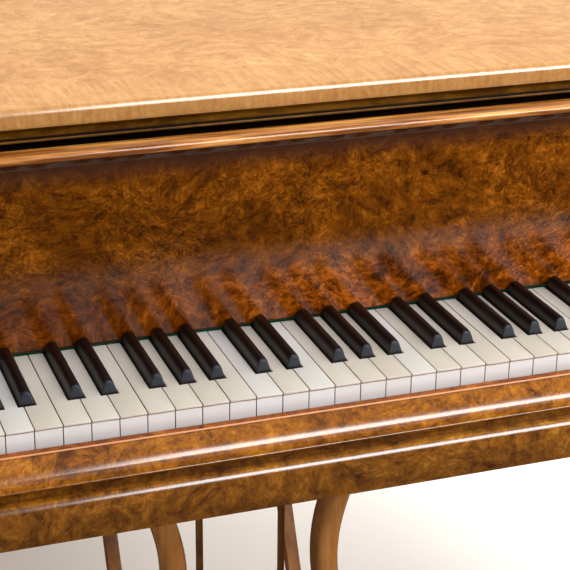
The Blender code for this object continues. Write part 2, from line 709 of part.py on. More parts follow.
def make_keyboard():
    """Key frame, keys and the octave above middle C as keys that rock by themselves."""
    bed = height(-KEYBED_DROP) + SEAT
    front, back = depth(FRONT_RAIL_DEPTH), depth(FRONT_RAIL_DEPTH + FRONT_RAIL_WIDTH)
    frame = add("key_frame", box((-KEYS_HALF, front, bed), (KEYS_HALF, back, bed + FRONT_RAIL_HEIGHT)), WOOD)
    stretchers = []
    for i in range(-2, 3):
        x = i * STRETCHER_SPACING
        stretchers.append(box((x - STRETCHER_WIDTH / 2, back - STRETCHER_WIDTH, bed),
                              (x + STRETCHER_WIDTH / 2, depth(BELLY_DEPTH - STRETCHER_BACK), bed + STRETCHER_HEIGHT)))
    fuse(frame, *stretchers)

    naturals, sharps = key_list()
    balance, behind = depth(BALANCE_DEPTH), depth(BACK_RAIL_DEPTH + BACK_RAIL_WIDTH / 2)
    rails = {}
    for name, middle, width, material in (("natural_keys", balance, BALANCE_WIDTH, IVORY),
                                          ("sharp_keys", behind, BACK_RAIL_WIDTH, EBONY)):
        rails[name] = add(name, box((-KEYS_HALF, middle - width / 2, height(RAIL_LOW)),
                                    (KEYS_HALF, middle + width / 2, height(RAIL_TOP))), material)
    parts = {"natural_keys": [], "sharp_keys": []}
    loose = []
    for name, i, head, tail in naturals:
        middle = (tail[0] + tail[1]) / 2
        if i in MIDDLE_OCTAVE:
            key = add(name, natural_key(head, tail), IVORY)
            loose.append(fuse(key, bearing(middle, balance, RAIL_TOP + SEAT)))
        else:
            parts["natural_keys"] += [natural_key(head, tail), bearing(middle, balance, RAIL_TOP - WELD)]
    for name, i, centre in sharps:
        if i in MIDDLE_OCTAVE:
            key = add(name, sharp_key(centre), EBONY)
            loose.append(fuse(key, bearing(centre, balance, RAIL_TOP + SEAT)))
        else:
            parts["sharp_keys"] += [sharp_key(centre), bearing(centre, behind, RAIL_TOP - WELD)]
    for name, shapes in parts.items():
        fuse(rails[name], *shapes)
    axis = pivot("key_axis", (0.0, balance, height(-KEY_THICK)))
    hang(loose, axis)


def make_action():
    """Brackets, hammers and dampers."""
    foot_low = height(-KEYBED_DROP) + SEAT + STRETCHER_HEIGHT + SEAT
    arm_low, arm_high = height(BRACKET_RISE), height(BRACKET_RISE + BRACKET_ARM)
    foot, back = depth(BRACKET_FOOT), depth(BRACKET_FOOT) + ACTION_RAIL_WIDTH
    front = depth(HAMMER_RAIL_DEPTH)
    side = [(foot, foot_low), (back, foot_low), (back, arm_high), (front, arm_high), (front, arm_low), (foot, arm_low)]
    brackets = []
    for i in range(-2, 3):
        x = i * STRETCHER_SPACING
        brackets.append(prism(side, x - BRACKET_WIDTH / 2, x + BRACKET_WIDTH / 2, "X"))
    rail_reach = 2 * STRETCHER_SPACING + STRETCHER_WIDTH
    action = add("action_frame", box((-rail_reach, foot + WELD, arm_low + WELD),
                                     (rail_reach, back - WELD, arm_high - WELD)), WOOD)
    fuse(action, *brackets)

    rail_low = arm_high + SEAT
    rail_back = front + HAMMER_RAIL_WIDTH
    hammers = add("hammer_rank", box((-KEYS_HALF, front, rail_low),
                                     (KEYS_HALF, rail_back, rail_low + HAMMER_RAIL_HEIGHT)), WOOD)
    strike = depth(HAMMER_LINE)
    shank = rail_low + HAMMER_RAIL_HEIGHT / 2
    head = [(rail_back - WELD, shank), (strike + SHANK_THICK, shank), (strike + SHANK_THICK, shank + 2 * SHANK_THICK),
            (strike, height(HAMMER_TOP)), (strike - SHANK_THICK, shank + SHANK_THICK), (rail_back - WELD, shank + SHANK_THICK)]
    naturals, sharps = key_list()
    centres = [(tail[0] + tail[1]) / 2 for _, _, _, tail in naturals] + [centre for _, _, centre in sharps]
    fuse(hammers, *[prism(head, x - HAMMER_WIDTH / 2, x + HAMMER_WIDTH / 2, "X") for x in centres])

    line = depth(DAMPER_LINE)
    low = height(DAMPER_RAIL_RISE)
    rail_front = line - DAMPER_RAIL_WIDTH / 2
    dampers = add("damper_rank", box((-KEYS_HALF, rail_front, low),
                                     (KEYS_HALF, rail_front + DAMPER_RAIL_WIDTH, low + DAMPER_RAIL_HEIGHT)), FELT)
    felt_low = bridge_top() + SEAT
    half = DAMPER_LENGTH / 2
    side = [(line - DAMPER_POST, low + WELD), (line + DAMPER_POST, low + WELD), (line + DAMPER_POST, felt_low),
            (line + half, felt_low), (line + half, felt_low + DAMPER_HEIGHT), (line - half, felt_low + DAMPER_HEIGHT),
            (line - half, felt_low), (line - DAMPER_POST, felt_low)]
    centres = sorted(centres)[:DAMPER_COUNT]
    fuse(dampers, *[prism(side, x - DAMPER_WIDTH / 2, x + DAMPER_WIDTH / 2, "X") for x in centres])


def bridge_top():
    """Height of the strings' plane at the treble bridge."""
    return height(SOUNDBOARD_TOP) + SEAT + BRIDGE_HEIGHT


# Lid, fallboard, music shelf and prop stick


def make_lid():
    outline = treble_side(LID_OVERHANG)
    outline[0] = (outline[0][0], depth(LID_FRONT))
    outline += [(-RIM_X, depth(LID_FRONT))]
    levels = [(LID_EDGE, LID_HIGH), (LID_EDGE * 0.30, LID_HIGH - LID_EDGE * 0.30), (0.0, LID_HIGH - LID_EDGE)]
    levels += [(0.0, LID_LOW + FLAP_HINGE_LEAF), (FLAP_HINGE_LEAF, LID_LOW)]
    far = 2 * RIM_X
    main_front, flap_back = FLAP_SPLIT + FLAP_GAP / 2, FLAP_SPLIT - FLAP_GAP / 2
    main = add("lid_main", slab(outline, levels), VENEER)
    combine(main, box((-far, main_front, 0.0), (far, LENGTH, 2 * RIM_TOP)), "INTERSECT")
    flap = add("lid_front", slab(outline, levels), VENEER)
    combine(flap, box((-far, -LENGTH, 0.0), (far, flap_back, 2 * RIM_TOP)), "INTERSECT")
    start, low = depth(LID_FRONT), LID_LOW - LID_MOULDING_DROP
    back, reach = start + LID_MOULDING_DEPTH, WALL_FACE - SLIDE
    groove = low + LID_MOULDING_DROP / 2
    moulding = [(back, LID_LOW + WELD), (start + 0.001, LID_LOW + WELD), (start + 0.001, groove + 0.001), (start + 0.004, groove)]
    moulding += [(start + 0.0015, groove - 0.0015), (start + 0.003, low + 0.001), (start + 0.005, low), (back, low)]
    fuse(flap, prism(moulding, -reach, reach, "X"))

    hinge_z = LID_HIGH + FLAP_HINGE_RISE
    leaf_back = main_front - SEAT
    barrel = turned([(FLAP_HINGE_RADIUS, -reach), (FLAP_HINGE_RADIUS, reach)], (0.0, FLAP_SPLIT, hinge_z), 8, "X")
    hinge = add("flap_hinge", barrel, BRASS)
    fuse(hinge, box((-reach, leaf_back - FLAP_HINGE_LEAF, LID_LOW + FLAP_HINGE_LEAF), (reach, leaf_back, hinge_z)))

    axis_x, axis_z = -RIM_X - SEAT - LID_HINGE_LEAF - LID_HINGE_RADIUS + 0.0002, RIM_TOP + SEAT / 2
    leaves = {"case": [], "lid": []}
    for number, place in enumerate(LID_HINGE_PLACES, 1):
        middle, third = depth(place), LID_HINGE_LENGTH / 3
        for side, way, knuckles in (("case", -1, (0,)), ("lid", 1, (-1, 1))):
            shapes = []
            for k in knuckles:
                y0, y1 = middle + (k - 0.5) * third + SEAT, middle + (k + 0.5) * third - SEAT
                shapes.append(turned([(LID_HINGE_RADIUS, y0), (LID_HINGE_RADIUS, y1)], (axis_x, 0.0, axis_z), 10, "Y"))
                shapes.append(leaf(way, y0, y1, axis_z, SEAT / 2))
            name = f"lid_hinge_{side}_{number}"
            y0, y1 = middle - 1.5 * third + SEAT, middle + 1.5 * third - SEAT
            made = add(name, leaf(way, y0, y1, axis_z, LID_HINGE_NECK), BRASS)
            leaves[side].append(fuse(made, *shapes))
    lid_axis = pivot("lid_axis", (axis_x, 0.0, axis_z))
    hang([main, hinge] + leaves["lid"], lid_axis)
    flap_axis = pivot("flap_axis", (0.0, FLAP_SPLIT, hinge_z))
    hang([flap_axis], lid_axis)
    hang([flap], flap_axis)


def leaf(way, y0, y1, axis_z, start):
    """The flat of a lid hinge's leaf, up the lid's edge or down the case's side."""
    right = -RIM_X - SEAT
    low, high = sorted((axis_z + way * start, axis_z + way * LID_HINGE_WIDTH))
    return box((right - LID_HINGE_LEAF, y0, low), (right, y1, high))


def make_fallboard():
    face = [(FALL_FACE - FALL_LEAN * z, z) for z in (FALL_FOOT, FALL_BOARD_TOP)]
    nose = (face[1][0] - FALL_COVE_DEPTH, FALL_BOARD_TOP + FALL_COVE_HEIGHT)
    profile = face[:1] + arc((nose[0], FALL_BOARD_TOP), (FALL_COVE_DEPTH, FALL_COVE_HEIGHT), 0, 90, 5)
    profile += arc((nose[0], nose[1] + FALL_NOSE_RADIUS), FALL_NOSE_RADIUS, 270, 90, 6)[1:]
    top = nose[1] + 2 * FALL_NOSE_RADIUS
    back = FALL_FACE + FALL_THICK
    profile += [(nose[0] + 0.007, top + 0.0005), (nose[0] + 0.022, top - 0.0012)]
    profile += [(back - FALL_LEAN * top, top - 0.005), (back - FALL_LEAN * FALL_FOOT, FALL_FOOT)]
    reach = WALL_FACE - SLIDE
    board = add("fallboard", prism(placed(profile), -reach, reach, "X"), BURR)
    axis = (0.0, depth(FALL_PIVOT_DEPTH), height(FALL_PIVOT_RISE))
    pins = []
    for name, side in (("spine", -1), ("bentside", 1)):
        inner, outer = side * (reach - FALL_PIN), side * (WALL_FACE + FALL_PIN_LENGTH)
        pins.append(rod((inner, *axis[1:]), (outer, *axis[1:]), FALL_PIN, 12))
        start, end = side * (WALL_FACE - SLIDE), side * (WALL_FACE + FALL_PIN_LENGTH + SEAT)
        cut(bpy.data.objects[name], rod((start, *axis[1:]), (end, *axis[1:]), FALL_PIN + SEAT, 12))
    fuse(board, *pins)
    hang([board], pivot("fall_axis", axis))


def make_music_desk():
    low, high = height(SHELF_RISE), height(SHELF_RISE + SHELF_THICK)
    edge = SHELF_THICK / 4
    front, back = depth(SHELF_DEPTH), depth(SHELF_DEPTH + SHELF_WIDTH)
    section = [(front, low), (back, low), (back, high), (front + edge, high), (front, high - edge)]
    shelf = add("music_shelf", prism(section, -SHELF_HALF, SHELF_HALF, "X"), VENEER)
    axis = (0.0, depth(DESK_PIVOT), high + SEAT + DESK_THICK / 2)
    half = DESK_THICK / 2
    board = [(axis[1] - DESK_HEIGHT, axis[2] - half)] + arc(axis[1:], half, -90, 90, 6)
    board += [(axis[1] - DESK_HEIGHT + edge, axis[2] + half), (axis[1] - DESK_HEIGHT, axis[2] + half - edge)]
    desk = add("music_desk", prism(board, -DESK_HALF, DESK_HALF, "X"), VENEER)
    desk_axis = pivot("desk_axis", axis)
    hang([desk], desk_axis)
    shelf_slide = pivot("shelf_slide", (0.0, front, low))
    hang([shelf, desk_axis], shelf_slide)


def prop_layout():
    """Foot, swing direction and length of the prop stick, from the lid's hinges."""
    lean, length = prop_swing(WALL_FACE - PROP_FROM_WALL)
    room = run_to(inside(depth(BELLY_DEPTH), 0.0), (0.0, depth(PROP_DEPTH) + length), (1.0, 0.0))
    foot = min(WALL_FACE - PROP_FROM_WALL, room - PROP_RADIUS - SLIDE)
    return ((foot, height(PROP_RISE)), *prop_swing(foot))


def prop_swing(x):
    """Lean and length of a prop stick with its foot this far out."""
    foot = (x, height(PROP_RISE))
    hinge = (-RIM_X - SEAT - LID_HINGE_LEAF - LID_HINGE_RADIUS, RIM_TOP + SEAT / 2)
    end = (hinge[0] + PROP_REACH * cos(LID_OPEN), hinge[1] + PROP_REACH * sin(LID_OPEN))
    run = hypot(end[0] - foot[0], end[1] - foot[1])
    lean = asin((foot[0] - end[0]) / run)
    return lean, run / sin(PROP_SWING) - PROP_CLEAR


def make_prop():
    (x, z), lean, length = prop_layout()
    y = depth(PROP_DEPTH)
    profile = [(PROP_RADIUS * 0.6, -PROP_RADIUS), (PROP_RADIUS, -PROP_RADIUS * 0.5), (PROP_RADIUS, 0.05)]
    profile += [(PROP_RADIUS * 0.8, length - PROP_TIP_LENGTH), (PROP_TIP_RADIUS, length)]
    stick = add("prop_stick", turned(profile, (x, y, z), 12, "Y"), VENEER)
    hang([stick], pivot("prop_axis", (x, y, z), (0.0, -lean, 0.0)))
    along = Vector((cos(lean), 0.0, sin(lean)))
    start = Vector((x, y, z)) + (PROP_RADIUS + SEAT) * along
    end = Vector((x, y, z)) + ((WALL_FACE - x) / cos(lean) + PROP_BOSS) * along
    fuse(bpy.data.objects["bentside"], rod(start, end, PROP_BOSS, 12))


# What stands under the case


def rod_places():
    """Where the pedal rods run through the case's bottom, bass side first."""
    return [(side * PEDAL_SPACING / 2, depth(LYRE_DEPTH) + PEDAL_ARM) for side in (-1, 1)]


def make_lyre():
    y, top = depth(LYRE_DEPTH), CASE_BOTTOM - SEAT
    half, head_low = PEDAL_BOX_DEPTH / 2, top - LYRE_HEAD_HEIGHT
    lyre = add("lyre", box((-LYRE_HALF, y - half, PEDAL_BOX_LOW), (LYRE_HALF, y + half, PEDAL_BOX_HIGH)), WALNUT)
    shapes = [box((-LYRE_HALF, y - LYRE_HEAD_DEPTH / 2, head_low), (LYRE_HALF, y + LYRE_HEAD_DEPTH / 2, top))]
    wide = LYRE_HALF - LYRE_POST
    start, waist, end = (wide, head_low + WELD), (LYRE_WAIST, (PEDAL_BOX_HIGH + head_low) / 2), (wide, PEDAL_BOX_HIGH - WELD)
    bow = (start[1] - waist[1]) * 0.55
    line = [start] + bezier(start, (start[0] + LYRE_POST, start[1] - bow * 0.6), (waist[0] - LYRE_POST, waist[1] + bow), waist, 8)
    line += bezier(waist, (waist[0] + LYRE_POST * 0.6, waist[1] - bow * 0.6), (end[0], end[1] + bow), end, 8)
    post = shifted(line, LYRE_POST / 2) + shifted(line, -LYRE_POST / 2)[::-1]
    for way in (1, -1):
        outline = [(way * x, z) for x, z in post]
        shapes.append(prism(outline, y - LYRE_THICK / 2, y + LYRE_THICK / 2, "Y"))
    fuse(lyre, *shapes)
    hollows = []
    for x, rod_y in rod_places():
        hollows.append(box((x - PEDAL_SLOT_WIDTH / 2, y - PEDAL_BOX_DEPTH, PEDAL_HEIGHT - PEDAL_SLOT_HEIGHT / 2),
                           (x + PEDAL_SLOT_WIDTH / 2, y + PEDAL_SLOT_BACK, PEDAL_HEIGHT + PEDAL_SLOT_HEIGHT / 2)))
        hollows.append(rod((x, rod_y, PEDAL_HEIGHT), (x, rod_y, CASE_BOTTOM + WALL), ROD_BORE, 8))
    cut(lyre, *hollows)

    near, far = PEDAL_NARROW / 2, PEDAL_WIDE / 2
    neck = -half - PEDAL_NARROW
    for (x, rod_y), name in zip(rod_places(), ("soft", "sustain")):
        side = [(near, PEDAL_TAIL), (near, neck)]
        side += bezier(side[-1], (near, neck - 0.015), (far, neck - 0.010), (far, neck - 0.030), 5)
        side += bezier(side[-1], (far, -PEDAL_REACH + 0.006), (far * 0.6, -PEDAL_REACH), (0.0, -PEDAL_REACH), 4)
        outline = [(x + a, y + b) for a, b in side] + [(x - a, y + b) for a, b in side[-2::-1]]
        pedal = prism(outline, PEDAL_HEIGHT - PEDAL_THICK / 2, PEDAL_HEIGHT + PEDAL_THICK / 2)
        pin = PEDAL_SLOT_WIDTH / 2 - SLIDE / 2
        made = add(f"pedal_{name}", pedal, BRASS)
        fuse(made, rod((x - pin, y, PEDAL_HEIGHT), (x + pin, y, PEDAL_HEIGHT), PEDAL_PIN, 8))
        hang([made], pivot(f"pedal_axis_{name}", (x, y, PEDAL_HEIGHT)))
        foot = PEDAL_HEIGHT + PEDAL_THICK / 2 + SEAT
        add(f"pedal_rod_{name}", rod((x, rod_y, foot), (x, rod_y, height(ROD_RISE)), ROD_RADIUS, 8), BRASS)

    back = y + half + SEAT
    low = (PEDAL_BOX_LOW + PEDAL_BOX_HIGH) / 2
    brace = [(back, low), (back + BRACE_RUN, top - BRACE_WIDTH), (back + BRACE_RUN, top)]
    brace += [(back + BRACE_RUN - BRACE_WIDTH, top), (back, low + 2 * BRACE_WIDTH)]
    for name, side in (("left", -1), ("right", 1)):
        x = side * (LYRE_HALF - LYRE_POST)
        add(f"lyre_brace_{name}", prism(brace, x - BRACE_WIDTH / 2, x + BRACE_WIDTH / 2, "X"), WALNUT)


def make_legs():
    front = depth(LEG_DEPTH)
    places = {"left": (-RIM_X + LEG_INSET, front), "right": (RIM_X - LEG_INSET, front),
              "back": (-RIM_X + TAIL_LEG_INSET, TAIL_Y - TAIL_LEG_FORWARD)}
    top = CASE_BOTTOM - SEAT
    block_low = top - LEG_BLOCK_HEIGHT
    tall = block_low + WELD - CASTER_HEIGHT
    profile = [(LEG_RADIUS * r, CASTER_HEIGHT + tall * share) for r, share in LEG_PROFILE]
    half = LEG_BLOCK / 2
    for name, (x, y) in places.items():
        leg = add(f"leg_{name}", box((x - half, y - half, block_low), (x + half, y + half, top)), WALNUT)
        fuse(leg, turned(profile, (x, y, 0.0), LEG_STEPS))
        make_caster(name, x, y)


def make_caster(name, x, y):
    """A fork that swivels under the leg and a wheel that turns in it, built about the leg's axis."""
    gap, wall = WHEEL_WIDTH / 2 + FORK_GAP, FORK_WALL
    plate_high = CASTER_HEIGHT - SEAT
    plate_low = plate_high - FORK_PLATE
    trail, hub, axle = CASTER_TRAIL, WHEEL_RADIUS, 2 * AXLE_RADIUS
    fork = add(f"caster_fork_{name}", turned([(FORK_RADIUS, plate_low), (FORK_RADIUS, plate_high)], (0, 0, 0), 16), BRASS)
    cheek = [(-FORK_RADIUS / 2, plate_low + WELD), (FORK_RADIUS / 2, plate_low + WELD), (trail + axle, hub + axle)]
    cheek += arc((trail, hub), axle, 20, -200, 6) + [(trail - axle, hub + 2 * axle)]
    cheeks = [prism(cheek, side * gap - (wall if side < 0 else 0), side * gap + (wall if side > 0 else 0), "X")
              for side in (-1, 1)]
    fuse(fork, *cheeks, rod((-gap - wall / 2, trail, hub), (gap + wall / 2, trail, hub), AXLE_RADIUS, 12))
    half, edge = WHEEL_WIDTH / 2, WHEEL_WIDTH / 5
    tyre = [(WHEEL_RADIUS - edge, -half), (WHEEL_RADIUS, -half + edge), (WHEEL_RADIUS, half - edge), (WHEEL_RADIUS - edge, half)]
    wheel = add(f"caster_wheel_{name}", turned(tyre, (0.0, trail, hub), 24, "X"), BRASS)
    cut(wheel, rod((-WHEEL_WIDTH, trail, hub), (WHEEL_WIDTH, trail, hub), WHEEL_BORE, 12))
    swivel = pivot(f"caster_swivel_{name}", (x, y, 0.0), (0.0, 0.0, radians(CASTER_TURNS[name])))
    for piece in (fork, wheel):
        piece.parent = swivel


for old in list(bpy.data.objects):
    bpy.data.objects.remove(old, do_unlink=True)

WALNUT = finish("walnut_case", (0.32, 0.15, 0.05), 0.20)
VENEER = finish("walnut_lid", (0.45, 0.23, 0.09), 0.18)
BURR = finish("burr_walnut", (0.22, 0.10, 0.035), 0.15)
WOOD = finish("beech", (0.62, 0.45, 0.27), 0.55)
SPRUCE = finish("spruce", (0.75, 0.58, 0.35), 0.40)
IVORY = finish("ivory", (0.80, 0.76, 0.66), 0.30)
EBONY = finish("ebony", (0.03, 0.025, 0.022), 0.30)
FELT = finish("black_felt", (0.05, 0.05, 0.05), 0.90)
GILT = finish("gilt_iron", (0.60, 0.42, 0.16), 0.35, 0.9)
BRASS = finish("brass", (0.78, 0.58, 0.25), 0.25, 1.0)

make_case()
make_back()
make_keyboard()
make_action()
make_lid()
make_fallboard()
make_music_desk()
make_prop()
make_lyre()
make_legs()
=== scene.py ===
# %% [markdown]
# # A grand piano at its keyboard
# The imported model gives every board, key and hinge in its place. This script adds the camera,
# the light and the polish, and remakes the pieces whose edges the eye follows, such as the
# mouldings, the ivories and the turned legs, as smooth surfaces worked out with numpy.

# %%
# Load the frame
from math import cos, pi, radians, sin

import bpy
import numpy as np
from mathutils import Matrix, Vector


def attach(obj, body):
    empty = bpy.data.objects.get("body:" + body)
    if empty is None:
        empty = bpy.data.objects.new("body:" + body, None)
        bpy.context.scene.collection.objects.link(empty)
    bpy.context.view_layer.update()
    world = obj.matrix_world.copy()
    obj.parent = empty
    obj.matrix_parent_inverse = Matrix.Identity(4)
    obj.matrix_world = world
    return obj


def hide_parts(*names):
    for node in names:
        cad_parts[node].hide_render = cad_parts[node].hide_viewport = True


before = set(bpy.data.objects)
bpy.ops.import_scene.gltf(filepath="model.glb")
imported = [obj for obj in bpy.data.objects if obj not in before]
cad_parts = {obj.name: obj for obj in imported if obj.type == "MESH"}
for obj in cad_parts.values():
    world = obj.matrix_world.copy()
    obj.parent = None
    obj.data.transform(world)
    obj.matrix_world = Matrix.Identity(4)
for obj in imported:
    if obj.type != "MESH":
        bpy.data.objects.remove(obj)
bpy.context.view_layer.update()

# %% [markdown]
# ## Camera
# The place and focal length come from the key fronts and the mouldings in the photograph, with
# the standard 23.5 mm from one natural key to the next as the scale. The plain view transform
# keeps the polish as bright and as warm as it is in a photograph.

# %%
# Place the camera
PHOTO = 570
CAMERA_PLACE = Vector((-0.4795, -2.2376, 1.3485))
YAW, PITCH, ROLL = 0.3442, 0.38885, 0.0106
FOCAL_PIXELS = 1694.5

forward = Vector((sin(YAW) * cos(PITCH), cos(YAW) * cos(PITCH), -sin(PITCH)))
level_right = Vector((cos(YAW), -sin(YAW), 0.0))
level_up = level_right.cross(forward)
right = cos(ROLL) * level_right + sin(ROLL) * level_up
up = -sin(ROLL) * level_right + cos(ROLL) * level_up
turn = Matrix((right, up, -forward)).transposed().to_4x4()

camera_data = bpy.data.cameras.new("camera")
camera_data.sensor_width = 36.0
camera_data.lens = 36.0 * FOCAL_PIXELS / PHOTO
camera_data.clip_end = 50.0
camera = bpy.data.objects.new("camera", camera_data)
camera.matrix_world = Matrix.Translation(CAMERA_PLACE) @ turn
bpy.context.scene.collection.objects.link(camera)
bpy.context.scene.camera = camera
bpy.context.scene.view_settings.view_transform = "Standard"
print("lens", round(camera_data.lens, 2), "mm")

# %% [markdown]
# ## Floor and light
# Polish shows what it faces. One long soft box above and behind the camera draws the bright
# line along every moulding, at the height where its reflection reaches the eye. The air around
# is dim, so that the dark burr keeps its depth, and cooler in front, where the fronts of the
# sharps face it. The floor isn't seen in the polish, as a dark floor would hardly be.

# %%
# Floor, soft boxes and surroundings


def soft_box(name, place, target, size, power, colour=(1.0, 1.0, 1.0), mirrored=False, roll=0.0):
    """An area light at a place, turned to its target. Polish shows it only where it's mirrored."""
    data = bpy.data.lights.new(name, "AREA")
    data.shape = "RECTANGLE"
    data.size, data.size_y = size
    data.energy = power
    data.color = colour
    lamp = bpy.data.objects.new(name, data)
    lamp.visible_glossy = mirrored
    way = Vector(target) - Vector(place)
    aim = way.to_track_quat("-Z", "Y").to_matrix().to_4x4() @ Matrix.Rotation(roll, 4, "Z")
    lamp.matrix_world = Matrix.Translation(place) @ aim
    bpy.context.scene.collection.objects.link(lamp)
    return lamp


floor_mesh = bpy.data.meshes.new("floor")
floor_mesh.from_pydata([(-40, -40, 0), (40, -40, 0), (40, 40, 0), (-40, 40, 0)], [], [(0, 1, 2, 3)])
floor = bpy.data.objects.new("floor", floor_mesh)
floor.visible_glossy = False
bpy.context.scene.collection.objects.link(floor)
floor_paint = bpy.data.materials.new("pale_floor")
floor_paint.use_nodes = True
floor_paint.node_tree.nodes["Principled BSDF"].inputs["Base Color"].default_value = (0.86, 0.85, 0.83, 1)
floor_paint.node_tree.nodes["Principled BSDF"].inputs["Roughness"].default_value = 0.9
floor_mesh.materials.append(floor_paint)

soft_box("long_window", (1.55, -3.2, 1.99), (1.55, -1.055, 0.70), (2.45, 1.0), 108, (1.0, 0.985, 0.97), True, -0.21)
soft_box("ceiling", (0.3, -0.35, 3.4), (0.3, -0.35, 0.8), (3.0, 3.0), 82, (1.0, 0.98, 0.95))
soft_box("left_room", (-3.4, -0.6, 2.2), (0.0, -0.2, 0.7), (1.8, 1.6), 7)
soft_box("right_room", (3.3, -0.6, 2.3), (0.0, -0.6, 0.7), (1.8, 1.6), 85)
soft_box("behind", (-0.3, 2.5, 2.7), (0.0, -0.3, 0.9), (2.4, 1.4), 130, (1.0, 0.96, 0.90))

world = bpy.data.worlds.new("room")
world.use_nodes = True
tree = world.node_tree
way = tree.nodes.new("ShaderNodeTexCoord")
parts = tree.nodes.new("ShaderNodeSeparateXYZ")
tree.links.new(way.outputs["Generated"], parts.inputs[0])
ends = {}
for name, stops in (("back", ((0.46, (0.10, 0.07, 0.05)), (0.52, (1.30, 1.10, 0.90)), (0.75, (0.36, 0.33, 0.30)))),
                    ("front", ((0.46, (0.10, 0.05, 0.03)), (0.51, (1.25, 1.15, 1.25)), (0.62, (0.34, 0.36, 0.40))))):
    ramp = tree.nodes.new("ShaderNodeValToRGB")
    height = tree.nodes.new("ShaderNodeMapRange")
    height.inputs["From Min"].default_value = -1.0
    tree.links.new(parts.outputs["Z"], height.inputs["Value"])
    tree.links.new(height.outputs["Result"], ramp.inputs["Fac"])
    while len(ramp.color_ramp.elements) < len(stops):
        ramp.color_ramp.elements.new(0.5)
    for element, (place, colour) in zip(ramp.color_ramp.elements, stops):
        element.position, element.color = place, (*colour, 1.0)
    ends[name] = ramp.outputs["Color"]
turn_back = tree.nodes.new("ShaderNodeMapRange")
turn_back.inputs["From Min"].default_value = -0.4
turn_back.inputs["From Max"].default_value = 0.4
tree.links.new(parts.outputs["Y"], turn_back.inputs["Value"])
blend = tree.nodes.new("ShaderNodeMix")
blend.data_type = "RGBA"
tree.links.new(turn_back.outputs["Result"], blend.inputs[0])
tree.links.new(ends["front"], blend.inputs[6])
tree.links.new(ends["back"], blend.inputs[7])
tree.links.new(blend.outputs[2], tree.nodes["Background"].inputs["Color"])
tree.nodes["Background"].inputs["Strength"].default_value = 0.7
bpy.context.scene.world = world
print("five soft boxes")

# %% [markdown]
# ## Writing shaders as sums
# A pattern is easier to read as arithmetic than as a list of nodes. Socket wraps one output and
# adds a Math node for each operator. Paint is one material, and its add method makes any node.

# %%
# Socket and Paint


class Socket:
    """One output of a node, with operators that add Math nodes."""

    def __init__(self, paint, out):
        self.paint, self.out = paint, out

    def math(self, operation, *others):
        values = (self, *others)
        return self.paint.add("ShaderNodeMath", {"operation": operation}, dict(enumerate(values)))

    def __add__(self, other):
        return self.math("ADD", other)

    __radd__ = __add__

    def __mul__(self, other):
        return self.math("MULTIPLY", other)

    __rmul__ = __mul__

    def __sub__(self, other):
        return self.math("SUBTRACT", other)

    def __rsub__(self, other):
        return self.paint.add("ShaderNodeMath", {"operation": "SUBTRACT"}, {0: other, 1: self})

    def __truediv__(self, other):
        return self.math("DIVIDE", other)

    def __pow__(self, other):
        return self.math("POWER", other)

    def wave(self):
        """A sine, raised to run from 0 to 1."""
        return self.math("SINE") * 0.5 + 0.5

    def step(self, low, high):
        """0 below low, 1 above high and a smooth rise between them."""
        return self.paint.add(
            "ShaderNodeMapRange", {"interpolation_type": "SMOOTHSTEP"},
            {"Value": self, "From Min": low, "From Max": high})


